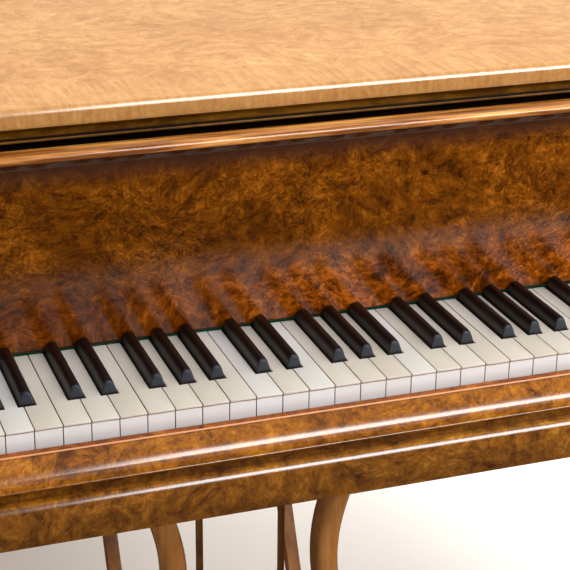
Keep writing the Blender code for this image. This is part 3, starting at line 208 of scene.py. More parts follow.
class Paint:
    """One material and its nodes."""

    def __init__(self, name, roughness=0.3, metallic=0.0, specular=0.5):
        self.material = bpy.data.materials.new(name)
        self.material.use_nodes = True
        self.tree = self.material.node_tree
        self.shader = self.tree.nodes["Principled BSDF"]
        self.shader.inputs["Roughness"].default_value = roughness
        self.shader.inputs["Metallic"].default_value = metallic
        self.shader.inputs["Specular IOR Level"].default_value = specular

    def add(self, kind, settings, sockets, out=0):
        """Makes a node of a kind, sets it up, fills or links its inputs and gives one output."""
        made = self.tree.nodes.new(kind)
        for name, value in settings.items():
            if name == "stops":
                self.fill(made.color_ramp, value)
            else:
                setattr(made, name, value)
        for key, value in sockets.items():
            if isinstance(value, Socket):
                self.tree.links.new(value.out, made.inputs[key])
            else:
                made.inputs[key].default_value = value
        return Socket(self, made.outputs[out])

    def fill(self, ramp, stops):
        """Sets a ramp's stops from (place, colour) pairs."""
        while len(ramp.elements) < len(stops):
            ramp.elements.new(0.5)
        for element, (place, colour) in zip(ramp.elements, stops):
            element.position = place
            element.color = (*colour, 1.0)

    def place(self, scale=(1.0, 1.0, 1.0), turn=(0.0, 0.0, 0.0)):
        """Object coordinates in metres, scaled and turned."""
        where = self.add("ShaderNodeTexCoord", {}, {}, "Object")
        return self.add("ShaderNodeMapping", {}, {"Vector": where, "Scale": scale, "Rotation": turn})

    def axis(self, letter, where=None):
        """One coordinate of a place."""
        where = where or self.add("ShaderNodeTexCoord", {}, {}, "Object")
        return self.add("ShaderNodeSeparateXYZ", {}, {"Vector": where}, letter)

    def noise(self, where, scale, detail=3.0, roughness=0.5, out="Fac"):
        return self.add("ShaderNodeTexNoise", {}, {
            "Vector": where, "Scale": scale, "Detail": detail, "Roughness": roughness}, out)

    def bend(self, where, scale, reach, detail=2.0):
        """The place, pushed about by the three channels of a noise."""
        push = self.noise(where, scale, detail, 0.5, "Color")
        return self.add("ShaderNodeVectorMath", {"operation": "MULTIPLY_ADD"}, {
            0: push, 1: (reach, reach, reach), 2: where})

    def stretch(self, where, scale):
        return self.add("ShaderNodeVectorMath", {"operation": "MULTIPLY"}, {0: where, 1: scale})

    def ramp(self, value, stops):
        return self.add("ShaderNodeValToRGB", {"stops": stops}, {"Fac": value})

    def mix(self, share, first, second, blend="MIX"):
        return self.add("ShaderNodeMix", {"data_type": "RGBA", "blend_type": blend}, {
            0: share, 6: first, 7: second}, 2)

    def bump(self, height, distance, strength=1.0):
        return self.add("ShaderNodeBump", {}, {"Height": height, "Distance": distance, "Strength": strength})

    def feed(self, **sockets):
        """Links results to the shader's sockets, with spaces written as underscores."""
        for name, value in sockets.items():
            target = self.shader.inputs[name.replace("_", " ")]
            if isinstance(value, Socket):
                self.tree.links.new(value.out, target)
            else:
                target.default_value = value
        return self.material


print("shader helpers ready")

# %% [markdown]
# ## Sizes taken from the part
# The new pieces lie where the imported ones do, so these are the part's own sizes.

# %%
# Sizes shared by several pieces
KEY_PITCH, KEYS_HALF = 0.0235, 26 * 0.0235
KEY_TOP, KEY_FRONT, KEY_BACK = 0.725, -1.030, 0.395
SHARP_FRONT, SHARP_WIDTH, SHARP_TOP_WIDTH, SHARP_HEIGHT = 0.0435, 0.0137, 0.0084, 0.0120
FALL_FACE, FALL_LEAN, FALL_THICK = 0.143, 0.0437, 0.016
BOARD_TOP, COVE_DEPTH, COVE_HEIGHT, NOSE = 0.1692, 0.0176, 0.0138, 0.0035
WALL_FACE, RIM_X, WALL = 0.656, 0.694, 0.038
RIM_TOP, PEDAL_X = 0.9267, 0.045
LID_LOW, LID_HIGH = RIM_TOP + 0.0003, RIM_TOP + 0.0003 + 0.0170
LID_FRONT_Y = KEY_FRONT + 0.1557
REACH = WALL_FACE - 0.0015
print("key fronts at", KEY_FRONT, "and key tops at", KEY_TOP)

# %% [markdown]
# ## Veneers
# The fallboard and the slip are burr walnut: dark swirls and eyes over gold. The lid and the
# lip of the fallboard are plainer walnut with long, straight grain. French polish is a single
# clear film, so one smooth reflection over the colour is enough. The figure is noise whose
# place is itself pushed about by slower noise, which curls it as a burr's buds curl its grain.

# %%
# Burr walnut


def burr_tone(paint, where, figure=1.0):
    """A tone from 0, dark, to 1, gold: patches, curls, crowded lines round them, knots and pores."""
    drift = paint.bend(where, 6.0, 0.09, 3.0)
    knotted = paint.bend(drift, 34.0, 0.026, 3.0)
    patches = paint.noise(drift, 13.0, 2.0, 0.5)
    curls = paint.noise(paint.stretch(knotted, (0.8, 1.0, 1.1)), 84.0, 5.0, 0.68)
    lines = (paint.noise(drift, 50.0, 2.0) * 50.0 + curls * 20.0).wave()
    lively = paint.noise(where, 9.0, 1.0).step(0.40, 0.62)
    flecks = paint.noise(knotted, 330.0, 2.0, 0.65)
    cells = paint.add("ShaderNodeTexVoronoi", {}, {"Vector": knotted, "Scale": 19.0}, "Distance")
    knots = cells.step(0.10, 0.03) * paint.noise(where, 12.0, 1.0).step(0.52, 0.58)
    tone = patches * 0.20 + curls * 0.50 + lines * (lively * 0.05 + 0.02) * figure + flecks * 0.18
    return tone - knots * 0.15 + 0.023


BURR_DARK = [(0.36, (0.026, 0.0068, 0.0004)), (0.45, (0.072, 0.0188, 0.0006)),
             (0.53, (0.120, 0.0340, 0.0011)), (0.64, (0.245, 0.075, 0.005))]
BURR_GOLD = [(0.36, (0.050, 0.013, 0.0008)), (0.44, (0.13, 0.041, 0.0018)),
             (0.52, (0.225, 0.078, 0.0030)), (0.62, (0.40, 0.160, 0.014))]
BURR_CASE = [(0.34, (0.100, 0.034, 0.0040)), (0.43, (0.165, 0.059, 0.007)),
             (0.52, (0.245, 0.095, 0.012)), (0.64, (0.36, 0.160, 0.028))]
BURR_PALE = [(0.30, (0.23, 0.095, 0.022)), (0.44, (0.36, 0.165, 0.046)),
             (0.54, (0.45, 0.230, 0.072)), (0.70, (0.62, 0.37, 0.15))]


def burr_veneer(name, stops, roughness):
    paint = Paint(name, roughness)
    return paint.feed(Base_Color=paint.ramp(burr_tone(paint, paint.place()), stops))


def slip_veneer():
    """Golden burr with a thick polish: a crisp reflection over a soft one, and none in the hollow.

    Light and shade are painted into the colour: the slip's flat top pinker and the keybed's ledge paler, the face
    lighter round the highlight, the hollow and the fascia's foot darker, and a peach highlight on the bead.
    """
    paint = Paint("slip_burr", 0.30, specular=0.12)
    rise = paint.axis("Z") - KEY_TOP
    burr = paint.ramp(burr_tone(paint, paint.place(), 0.5), BURR_GOLD)
    # Painted light: the flat top of the slip is tinted pinker, for the light it catches.
    marked = paint.mix(rise.step(-0.0174, -0.0166), burr, (1.15, 0.85, 1.3, 1.0), "MULTIPLY")
    # Painted reflection: the face between bead and arris is made lighter and less blue, for the soft glow round its
    # highlight.
    face = rise.step(-0.0410, -0.0380) * rise.step(-0.0176, -0.0192)
    marked = paint.mix(face, marked, (1.28, 1.20, 0.60, 1.0), "MULTIPLY")
    # Painted shade: the fascia grows darker and browner towards its foot.
    fascia = rise.step(-0.0585, -0.0900)
    marked = paint.mix(fascia, marked, (0.62, 0.60, 0.36, 1.0), "MULTIPLY")
    # Painted shade: the hollow under the arris is darkened.
    hollow = (rise + 0.0485).math("ABSOLUTE").step(0.0090, 0.0080)
    marked = paint.mix(hollow, marked, (0.56, 0.52, 0.34, 1.0), "MULTIPLY")
    # Painted light: the top of the keybed's ledge is made much paler.
    ledge = (rise + 0.0577).math("ABSOLUTE").step(0.0018, 0.0009)
    marked = paint.mix(ledge, marked, (1.9, 2.1, 3.6, 1.0), "MULTIPLY")
    # Painted highlight: a peach line along the bead.
    bead = (rise + 0.0173).math("ABSOLUTE").step(0.0008, 0.0004)
    painted_highlight = paint.mix(bead * 0.65, marked, (0.70, 0.34, 0.17, 1.0))
    below_bead = rise.step(-0.0178, -0.0192)
    return paint.feed(Base_Color=painted_highlight, Coat_Weight=(1.0 - hollow) * below_bead * 0.95,
                      Coat_Roughness=0.17, Coat_IOR=1.65)


def fallboard_veneer():
    """The dark burr, with light and shade painted in: lighter towards the treble, a pinkish painted reflection of the
    keys low down, darker at the low bass end, and painted shade in the cove.
    """
    paint = Paint("fallboard_burr", 0.11, specular=0.33)
    rise, across = paint.axis("Z") - KEY_TOP, paint.axis("X")
    low = rise.step(0.085, 0.030)
    near_keys = low * across.step(-0.45, 0.0)
    lively = near_keys * 0.38 + across.step(-0.42, 0.22) * 0.20
    plain = burr_tone(paint, paint.place())
    tone = plain + (plain - 0.48) * lively
    burr = paint.ramp(tone, BURR_DARK)
    # Painted light: the burr is lighter towards the treble, the side the light falls from.
    treble_painted_light = paint.mix(across.step(-0.42, 0.22), burr, (1.20, 1.15, 1.0, 1.0), "MULTIPLY")
    # Painted reflection: a pinkish lightening low on the board, for the keys mirrored in it.
    keys_painted_reflection = paint.mix(near_keys, treble_painted_light, (1.34, 1.12, 1.5, 1.0), "MULTIPLY")
    # Painted shade: darker at the low bass end.
    bass = low * across.step(0.0, -0.36)
    bass_painted_shade = paint.mix(bass, keys_painted_reflection, (0.62, 0.48, 0.72, 1.0), "MULTIPLY")
    # Painted shade: the cove is darkened nearly to black.
    cove = (rise - BOARD_TOP).step(-0.020, 0.001)
    colour = paint.mix(cove * 0.85, bass_painted_shade, (0.034, 0.013, 0.008, 1.0))
    return paint.feed(Base_Color=colour, Roughness=0.11 - cove * 0.03,
                      Normal=paint.bump(plain, 0.0014, (1.0 - cove) * 0.3))


def lid_veneer():
    """Pale burr with a front band whose straight grain runs front to back; the top is painted lighter and the lowest
    edge and underside painted darker.
    """
    paint = Paint("lid_burr", 0.15)
    burr = burr_tone(paint, paint.place((0.8, 0.8, 0.8)), 0.4)
    where = paint.stretch(paint.bend(paint.place(), 9.0, 0.006), (1.0, 0.08, 0.25))
    straight = paint.noise(where, 230.0, 4.0, 0.65) * 0.70 + 0.16
    band = paint.axis("Y").step(LID_FRONT_Y + 0.075, LID_FRONT_Y + 0.060)
    pale = paint.ramp(burr + (straight - burr) * band * 0.5, BURR_PALE)
    rise = paint.axis("Z") - LID_LOW
    # Painted light: the top face and its edge are made lighter.
    top_painted_light = paint.mix(rise.step(0.0122, 0.0148), pale, (1.17, 1.20, 1.34, 1.0), "MULTIPLY")
    # Painted shade: the lowest few millimetres of the face and the underside are made darker and browner.
    underside_painted_shade = paint.mix(rise.step(0.0030, -0.0010), top_painted_light, (0.74, 0.66, 0.50, 1.0), "MULTIPLY")
    arris = rise.step(0.0100, 0.0120) * rise.step(0.0171, 0.0166)
    return paint.feed(Base_Color=underside_painted_shade, Coat_Weight=arris * 0.5, Coat_Roughness=0.20, Coat_IOR=1.6)


def shelf_veneer():
    """Dark burr for the music shelf, with a near-black strip of painted shade along its front, where the gap under the
    closed lid looks into darkness.
    """
    paint = Paint("shelf_burr", 0.2)
    # Painted shade: a near-black strip along the shelf's front.
    front_painted_shade = (paint.axis("Y") - KEY_FRONT).step(0.2060, 0.2050)
    burr = paint.ramp(burr_tone(paint, paint.place()), BURR_DARK)
    return paint.feed(Base_Color=paint.mix(front_painted_shade, burr, (0.006, 0.003, 0.002, 1.0)))


def lid_moulding_veneer():
    """The moulding under the lid: dark olive, which is painted shade under the lid's overhang, painted lighter on the
    fillet below its groove, with a painted shade line in the groove.
    """
    paint = Paint("moulding_burr", 0.30, specular=0.14)
    tone = burr_tone(paint, paint.place((0.5, 1.0, 1.0)), 0.3)
    # Painted shade: the moulding's dark olive stands for the shade under the lid's overhang.
    dark = paint.ramp(tone, [(0.38, (0.060, 0.021, 0.0010)), (0.60, (0.180, 0.072, 0.0060))])
    rise = paint.axis("Z") - LID_LOW
    # Painted light: the fillet below the groove is made lighter, where light reaches it.
    fillet_painted_light = paint.mix(rise.step(-0.0100, -0.0108), dark, (1.35, 1.40, 2.2, 1.0), "MULTIPLY")
    # Painted shade: a near-black line in the groove.
    groove_painted_shade = (rise + 0.0104).math("ABSOLUTE").step(0.0011, 0.0006)
    return paint.feed(Base_Color=paint.mix(groove_painted_shade * 0.9, fillet_painted_light, (0.008, 0.004, 0.002, 1.0)))


# %% [markdown]
# Straight-grained walnut is the same trick with the place squeezed across the grain, so that
# the noise draws out into streaks. A second, much finer noise gives the short dark pores.

# %%
# Straight-grained walnut


HONEY = [(0.38, (0.16, 0.045, 0.005)), (0.50, (0.44, 0.165, 0.029)), (0.62, (0.66, 0.335, 0.090))]
BROWN = [(0.32, (0.10, 0.032, 0.006)), (0.50, (0.21, 0.080, 0.017)), (0.70, (0.36, 0.155, 0.040))]


def streaks(paint, along):
    """Tone of straight grain that runs along one axis, a place scaled down in that direction."""
    where = paint.stretch(paint.bend(paint.place(), 2.5, 0.035), along)
    figure = paint.noise(where, 26.0, 4.0, 0.6)
    fine = paint.noise(where, 190.0, 2.0, 0.5)
    return figure * 0.8 + fine * 0.2


def straight_veneer(name, stops, along, roughness=0.16):
    paint = Paint(name, roughness)
    tone = streaks(paint, along)
    pores = paint.noise(paint.stretch(paint.place(), along), 520.0, 1.0).step(0.66, 0.74)
    colour = paint.mix(pores * 0.45, paint.ramp(tone, stops), (*[0.3 * c for c in stops[0][1]], 1.0))
    return paint.feed(Base_Color=colour)


def lip_veneer():
    """Straight honey-coloured grain, painted near-black behind: painted shade where the closed lid shadows it."""
    paint = Paint("lip_walnut", 0.16)
    where = paint.stretch(paint.bend(paint.place(), 3.0, 0.02), ALONG_X)
    tone = streaks(paint, ALONG_X) * 0.75 + paint.noise(where, 95.0, 4.0, 0.65) * 0.95 - 0.36
    honey = paint.ramp(tone, HONEY)
    # Painted shade: the lip is near-black behind, where the closed lid shadows it.
    behind = (paint.axis("Y") - KEY_FRONT).step(0.1390, 0.1410)
    return paint.feed(
        Base_Color=paint.mix(behind, honey, (0.006, 0.004, 0.003, 1.0)), Roughness=behind * 0.6 + 0.16)


ALONG_X, ALONG_Y, ALONG_Z = (0.06, 1.0, 1.0), (1.0, 0.06, 1.0), (1.0, 1.0, 0.06)
veneers = {
    "board": fallboard_veneer(),
    "slip": slip_veneer(),
    "lip": lip_veneer(),
    "lid": lid_veneer(),
    "moulding": lid_moulding_veneer(),
    "shelf": shelf_veneer(),
    "stick": straight_veneer("stick_walnut", BROWN, ALONG_X),
    "case": burr_veneer("case_burr", BURR_CASE, 0.14),
    "upright": straight_veneer("upright_walnut", BROWN, ALONG_Z),
}
print("veneers:", ", ".join(veneers))

# %% [markdown]
# ## Ivory, ebony, felt, metal and plain woods
# Each ivory has its own tone, because no two tusks were alike, so the tone comes from the
# number of the key, which is worked out from the place along the keyboard.

# %%
# Ivory and ebony


def ivory():
    """Creamy covers: a tone for each key, faint lines along it, brown edges, a cooler front, painted light towards the
    back and a painted shadow line under the cover's edge.
    """
    paint = Paint("ivory_covers", 0.20, specular=0.4)
    place = (paint.axis("X") + KEYS_HALF) / KEY_PITCH
    number = place.math("FLOOR")
    own = paint.add("ShaderNodeTexWhiteNoise", {"noise_dimensions": "1D"}, {"W": number + 0.37})
    behind = (paint.axis("Y") - (KEY_FRONT + SHARP_FRONT)).step(-0.0002, 0.0002)
    tail = paint.add("ShaderNodeTexWhiteNoise", {"noise_dimensions": "1D"}, {"W": number + behind * 60.0})
    grain = paint.noise(paint.place((60.0, 3.0, 60.0)), 6.0, 4.0)
    stain = paint.noise(paint.place(), 38.0, 3.0, 0.6)
    tone = own * 0.46 + tail * 0.14 + grain * 0.22 + stain * 0.26
    aged = paint.ramp(tone, [(0.20, (0.54, 0.50, 0.425)), (0.55, (0.59, 0.555, 0.490)), (0.95, (0.64, 0.615, 0.58))])
    white = paint.mix(own.step(0.80, 0.86) * 0.8, aged, (0.63, 0.63, 0.625, 1.0))
    # Painted light: the backs of the covers, shaded by the fallboard, are made whiter and brighter, and the fronts
    # darker and yellower.
    toward_front = (paint.axis("Y") - KEY_FRONT).step(0.13, 0.01)
    back_painted_light = paint.mix(1.0, white, (1.30, 1.31, 1.35, 1.0), "MULTIPLY")
    cover = paint.mix(toward_front, back_painted_light, paint.mix(1.0, white, (0.84, 0.83, 0.79, 1.0), "MULTIPLY"))
    depth = paint.axis("Z") - KEY_TOP
    front = paint.mix(0.35, (0.70, 0.68, 0.70, 1.0), cover)
    surface = paint.mix(depth.step(-0.0024, -0.0014), front, cover)
    # Painted shadow: a dark brown line on the front plate under the cover's overhanging edge.
    wander = (paint.noise(paint.place(), 70.0, 1.0) - 0.5) * 0.0012
    seam = (depth + 0.0023 + wander).math("ABSOLUTE").step(0.0011, 0.0005)
    edge = ((place - number) - 0.5).math("ABSOLUTE").step(0.474, 0.486)
    # Dark lines: the painted shadow under the front edge, and the brown edges beside the gaps.
    marked = seam.math("MAXIMUM", edge * 0.8)
    return paint.feed(Base_Color=paint.mix(marked * 0.9, surface, (0.24, 0.13, 0.075, 1.0)))


def ebony():
    """Brown-black with a fine grain along the key, a lighter painted highlight band along the sides and a blue-grey
    painted reflection on the front faces.
    """
    paint = Paint("ebony_sharps", 0.38, specular=0.15)
    grain = paint.noise(paint.place((70.0, 3.0, 70.0)), 9.0, 4.0, 0.6)
    # Painted light: the side tone is lighter than ebony's near-black top tone, as the sides look lit.
    side = paint.ramp(grain, [(0.3, (0.032, 0.028, 0.023)), (0.7, (0.076, 0.066, 0.055))])
    top = paint.ramp(grain, [(0.3, (0.0035, 0.0023, 0.0023)), (0.7, (0.013, 0.0070, 0.0066))])
    # Painted reflection: the front faces are blue-grey, for the cool room they mirror; the foot keeps no such tint.
    front = (paint.axis("Y") - (KEY_FRONT + SHARP_FRONT)).step(0.0046, 0.0022)
    rise = paint.axis("Z") - KEY_TOP
    above_foot = rise.step(0.0012, 0.0024)
    # Painted highlight: a lighter band along each side; the foot keeps the near-black tone as painted shade.
    painted_highlight = rise.step(0.0010, 0.0034) * rise.step(0.0088, 0.0052)
    wood = paint.mix(painted_highlight, top, side)
    return paint.feed(
        Base_Color=paint.mix(front * above_foot * 0.85, wood, (0.020, 0.024, 0.033, 1.0)),
        Normal=paint.bump(grain, 0.0001, 0.3))


def plain_wood(name, dark, light, scale, roughness=0.5):
    paint = Paint(name, roughness)
    grain = paint.noise(paint.place(scale), 9.0, 5.0, 0.6)
    return paint.feed(Base_Color=paint.ramp(grain, [(0.3, dark), (0.7, light)]))


def felt(name, dark, light):
    """Wool felt: short fibres that catch the light."""
    paint = Paint(name, 0.95, specular=0.1)
    fibres = paint.noise(paint.place(), 900.0, 3.0, 0.7)
    return paint.feed(Base_Color=paint.ramp(fibres, [(0.3, dark), (0.7, light)]),
                      Normal=paint.bump(fibres, 0.0006, 0.8))


def metal(name, colour, roughness):
    paint = Paint(name, roughness, 1.0)
    cloud = paint.noise(paint.place(), 45.0, 4.0, 0.6)
    shade = paint.ramp(cloud, [(0.3, tuple(0.72 * c for c in colour)), (0.7, colour)])
    return paint.feed(Base_Color=shade, Roughness=cloud * 0.2 + (roughness - 0.1))


finishes = {
    "ivory": ivory(),
    "ebony": ebony(),
    "lime": plain_wood("key_wood", (0.40, 0.22, 0.095), (0.56, 0.35, 0.17), (60.0, 3.0, 60.0)),
    "beech": plain_wood("beech", (0.38, 0.23, 0.11), (0.56, 0.38, 0.21), (2.0, 30.0, 30.0)),
    "spruce": plain_wood("spruce", (0.50, 0.30, 0.11), (0.66, 0.44, 0.19), (60.0, 3.0, 60.0), 0.25),
    "black": plain_wood("black_wood", (0.010, 0.009, 0.008), (0.03, 0.026, 0.024), (9.0, 30.0, 9.0)),
    "felt": felt("green_felt", (0.002, 0.014, 0.005), (0.007, 0.040, 0.016)),
    "gilt": metal("gilt_iron", (0.66, 0.44, 0.15), 0.38),
    "brass": metal("brass", (0.86, 0.62, 0.27), 0.22),
    "steel": metal("steel_wire", (0.62, 0.62, 0.64), 0.28),
    "copper": metal("copper_wire", (0.80, 0.40, 0.22), 0.34),
}
print("finishes:", ", ".join(finishes))

# %% [markdown]
# ## Surfaces from arrays
# Every new piece is a stack of rings: a profile carried along a line, a plan with its edges
# drawn in, or a profile turned about an axis. Each is one numpy array, so forty-five keys cost
# no more lines than one.

# %%
# Rings, outlines and profiles


def skin(rings):
    """Closed surfaces through rings: an array of (stacks, rings, points round, 3)."""
    rings = np.asarray(rings, float)
    stacks = rings.reshape(-1, *rings.shape[-3:])
    count, rows, around = stacks.shape[:3]
    index = np.arange(rows * around).reshape(rows, around)
    after = np.roll(index, -1, axis=1)
    quads = np.stack([index[:-1], after[:-1], after[1:], index[1:]], axis=-1).reshape(-1, 4)
    caps = np.stack([index[0, ::-1], index[-1]])
    first = stacks[0].reshape(-1, 3)
    fans = np.concatenate([quads[:, :3], quads[:, [0, 2, 3]]] + [
        np.stack([np.full(around - 2, cap[0]), cap[1:-1], cap[2:]], axis=1) for cap in caps])
    corners = first[fans] - first.mean(axis=0)
    volume = np.einsum("ij,ij->", corners[:, 0], np.cross(corners[:, 1], corners[:, 2]))
    if volume < 0:
        quads, caps = quads[:, ::-1], caps[:, ::-1]
    starts = np.arange(count)[:, None, None] * rows * around
    return stacks.reshape(-1, 3), (quads + starts).reshape(-1, 4), (caps + starts).reshape(-1, around)


def together(*shapes):
    """Several shapes as one list of points and one list of faces."""
    points, faces, start = [], [], 0
    for shape in shapes:
        points.append(shape[0])
        for group in shape[1:]:
            faces += (np.asarray(group) + start).tolist()
        start += len(shape[0])
    return np.concatenate(points), faces


def drawn_in(outline, amounts):
    """Each corner moved so that both its edges step inwards: two lines' crossing, solved for all."""
    outline = np.asarray(outline, float)
    edge = np.roll(outline, -1, axis=-2) - outline
    normal = np.stack([-edge[..., 1], edge[..., 0]], axis=-1)
    normal /= np.linalg.norm(normal, axis=-1, keepdims=True)
    amounts = np.broadcast_to(amounts, outline.shape[:-1])
    n1, a1 = np.roll(normal, 1, axis=-2), np.roll(amounts, 1, axis=-1)
    cross = n1[..., 0] * normal[..., 1] - n1[..., 1] * normal[..., 0]
    bent = np.abs(cross) > 1e-3
    safe = np.where(bent, cross, 1.0)
    dx = (a1 * normal[..., 1] - amounts * n1[..., 1]) / safe
    dy = (n1[..., 0] * amounts - normal[..., 0] * a1) / safe
    straight = (n1 + normal) / 2 * amounts[..., None]
    return outline + np.where(bent[..., None], np.stack([dx, dy], axis=-1), straight)


def slab(outline, levels, amounts=1.0):
    """A plan outline stacked through (inset, height) pairs; amounts scale the inset edge by edge."""
    rings = []
    for inset, level in levels:
        ring = drawn_in(outline, inset * np.asarray(amounts))
        rings.append(np.concatenate([ring, np.full((*ring.shape[:-1], 1), level)], axis=-1))
    return skin(np.stack(rings, axis=-3))


def rounded(low, high, radius, steps=4, both=False):
    """Levels of a slab whose upper edge, or both edges, is a quarter circle."""
    turn = np.linspace(0.0, pi / 2, steps + 1)
    top = [(radius * (1 - np.cos(t)), high - radius + radius * np.sin(t)) for t in turn]
    if not both:
        return [(0.0, low)] + top
    return [(inset, low + high - level) for inset, level in top[::-1]] + top


def eased(low, high):
    """Levels of a slab whose upper edge is nearly flat where it mirrors the long window."""
    edge = bends((0.0, 0.0), (180, 166, 0.001), (166, 138, 0.012), (138, 90, 0.001))
    edge[:, 1] += high - edge[-1, 1]
    return [(0.0, low)] + edge.tolist()


def block(low, high):
    """A plain block between two corners, for what is hidden."""
    (x0, y0, z0), (x1, y1, z1) = low, high
    return slab([(x0, y0), (x1, y0), (x1, y1), (x0, y1)], [(0.0, z0), (0.0, z1)])


def carried(profile, low, high):
    """A side profile of (Y, Z) points carried along X."""
    profile = np.asarray(profile, float)
    rings = [np.column_stack([np.full(len(profile), x), profile]) for x in (low, high)]
    return skin(rings)


def from_keys(profile):
    """Depths behind the key fronts and heights above the key tops, as world Y and Z."""
    return np.asarray(profile, float) + (KEY_FRONT, KEY_TOP)


def arc(centre, radius, start, end, steps=12):
    """Points of an arc in degrees, or of an ellipse's where radius is a pair."""
    turn = np.radians(np.linspace(start, end, steps + 1))
    wide, tall = np.broadcast_to(radius, 2)
    return np.column_stack([centre[0] + wide * np.cos(turn), centre[1] + tall * np.sin(turn)])


def bends(start, *turns):
    """Arcs end to end, each (normal's first angle, its last, radius), as a plane's edge is eased."""
    points = [np.asarray(start, float)[None]]
    for first, last, radius in turns:
        steps = max(2, int(abs(last - first) / 6))
        swept = arc((0.0, 0.0), radius, first, last, steps)
        points.append(points[-1][-1] + swept[1:] - swept[0])
    return np.concatenate(points)


def curve(p0, p1, p2, p3, steps=16):
    """Points of a cubic curve: the four points weighted by Bernstein's polynomials."""
    t = np.linspace(0.0, 1.0, steps + 1)[:, None]
    p0, p1, p2, p3 = (np.asarray(p, float) for p in (p0, p1, p2, p3))
    return (1 - t) ** 3 * p0 + 3 * t * (1 - t) ** 2 * p1 + 3 * t * t * (1 - t) * p2 + t ** 3 * p3


def piece(name, shape, paint, body, replaced=(), angle=32.0):
    """A mesh object from a shape, smooth up to an angle, riding on a body."""
    mesh = bpy.data.meshes.new(name)
    mesh.from_pydata(shape[0].tolist(), [], shape[1])
    mesh.materials.append(paint)
    mesh.shade_smooth()
    mesh.set_sharp_from_angle(angle=radians(angle))
    made = bpy.data.objects.new(name, mesh)
    bpy.context.scene.collection.objects.link(made)
    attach(made, body)
    if replaced:
        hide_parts(*replaced)
    print(f"{name}: {len(mesh.polygons)} faces")
    return made


# %% [markdown]
# ## The naturals
# A natural is a stick of lime wood with a thin ivory glued on top and another on its front. The
# top ivory stands a little proud of the front one, which draws the fine shadow under its edge.
# The sticks narrow beside the sharps, and the cut for each sharp has a place of its own.

# %%
# Ivory covers, fronts and key sticks
KEY_GAP = 0.0007
NATURALS, OCTAVE = 52, np.arange(23, 30)
LETTERS = "ABCDEFG"

number = np.arange(NATURALS)
sharp_offsets = {"C": -0.0024, "D": 0.0024, "F": -0.0030, "G": 0.0, "A": 0.0030}
offset = np.array([sharp_offsets.get(LETTERS[i % 7], np.nan) for i in number])
offset[-1] = np.nan
gap_x = (number + 1 - NATURALS / 2) * KEY_PITCH
sharp_x = gap_x + offset
rng = np.random.default_rng(7)
lift = rng.uniform(-0.00012, 0.00012, NATURALS)

head_left, head_right = gap_x - KEY_PITCH + KEY_GAP / 2, gap_x - KEY_GAP / 2
room = SHARP_WIDTH / 2 + 0.0010
before = np.concatenate([[np.nan], sharp_x[:-1]])
tail_left = np.where(np.isnan(before), head_left + 4e-5, before + room)
tail_right = np.where(np.isnan(sharp_x), head_right - 4e-5, sharp_x - room)


def key_plan(front, corner):
    """Plans of all naturals from above: a head with rounded front corners and a tail."""
    neck, back = KEY_FRONT + SHARP_FRONT - 0.0010, KEY_FRONT + KEY_BACK
    turn = np.radians(np.linspace(0.0, 90.0, 4))
    inward, forward_by = corner * (1 - np.sin(turn)), corner * (1 - np.cos(turn))
    corners = [(head_left + a, np.full(NATURALS, front + b)) for a, b in zip(inward[::-1], forward_by[::-1])][::-1]
    left = [(head_left + a, np.full(NATURALS, front + b)) for a, b in zip(corner * (1 - np.cos(turn)), corner * (1 - np.sin(turn)))]
    right = [(head_right - a, np.full(NATURALS, front + b)) for a, b in zip(corner * (1 - np.sin(turn)), corner * (1 - np.cos(turn)))]
    ends = [(head_right, neck), (tail_right, neck), (tail_right, back), (tail_left, back), (tail_left, neck), (head_left, neck)]
    ends = [(x, np.full(NATURALS, y)) for x, y in ends]
    return np.stack([np.stack(point, axis=-1) for point in left + right + ends], axis=1)


plan = key_plan(KEY_FRONT, 0.0007)
cover_levels = [(0.0, KEY_TOP - 0.0016)] + rounded(0.0, KEY_TOP, 0.00035, 3)[1:]
sticks = drawn_in(key_plan(KEY_FRONT + 0.0022, 0.0002), 0.00008)


def raised(shape, keys):
    """Each key's copy moved up or down by its own small amount."""
    points = shape[0].reshape(len(keys), -1, 3).copy()
    points[..., 2] += lift[keys][:, None]
    return points.reshape(-1, 3), *shape[1:]


def natural_covers(keys):
    covers = raised(slab(plan[keys], cover_levels), keys)
    left, right = head_left[keys] + 0.00005, head_right[keys] - 0.00005
    near, far = np.full(len(keys), KEY_FRONT + 0.0011), np.full(len(keys), KEY_FRONT + 0.0021)
    plates = np.stack([np.stack(p, -1) for p in ((left, near), (right, near), (right, far), (left, far))], axis=1)
    fronts = raised(slab(plates, [(0.00008, KEY_TOP - 0.0192), (0.0, KEY_TOP - 0.0189), (0.0, KEY_TOP - 0.00165)]), keys)
    return together(covers, fronts)


def natural_sticks(keys):
    return raised(slab(sticks[keys], [(0.0, KEY_TOP - 0.022), (0.0, KEY_TOP - 0.00165)]), keys)


loose = OCTAVE
fixed = np.setdiff1d(number, loose)
piece("ivory_covers", natural_covers(fixed), finishes["ivory"], "keyboard", ["natural_keys"])
rail = block((-KEYS_HALF, -0.811, 0.6806), (KEYS_HALF, -0.799, 0.7020))
piece("natural_sticks", together(natural_sticks(fixed), rail), finishes["lime"], "keyboard")
for i in loose:
    letter = LETTERS[i % 7]
    own = np.array([i])
    piece(f"ivory_{letter}4", natural_covers(own), finishes["ivory"], f"note_{letter}4", [f"key_{letter}4"])
    piece(f"stick_{letter}4", together(natural_sticks(own)), finishes["lime"], f"note_{letter}4")

# %% [markdown]
# ## The sharps
# A sharp is a block of ebony that narrows upwards, with its long edges eased and its front end
# sloping back. Each section across it is the same half profile, pressed down under the line of
# its top as seen from the side, so the arched front face comes out of the rounding by itself.

# %%
# Ebony blocks and their sticks


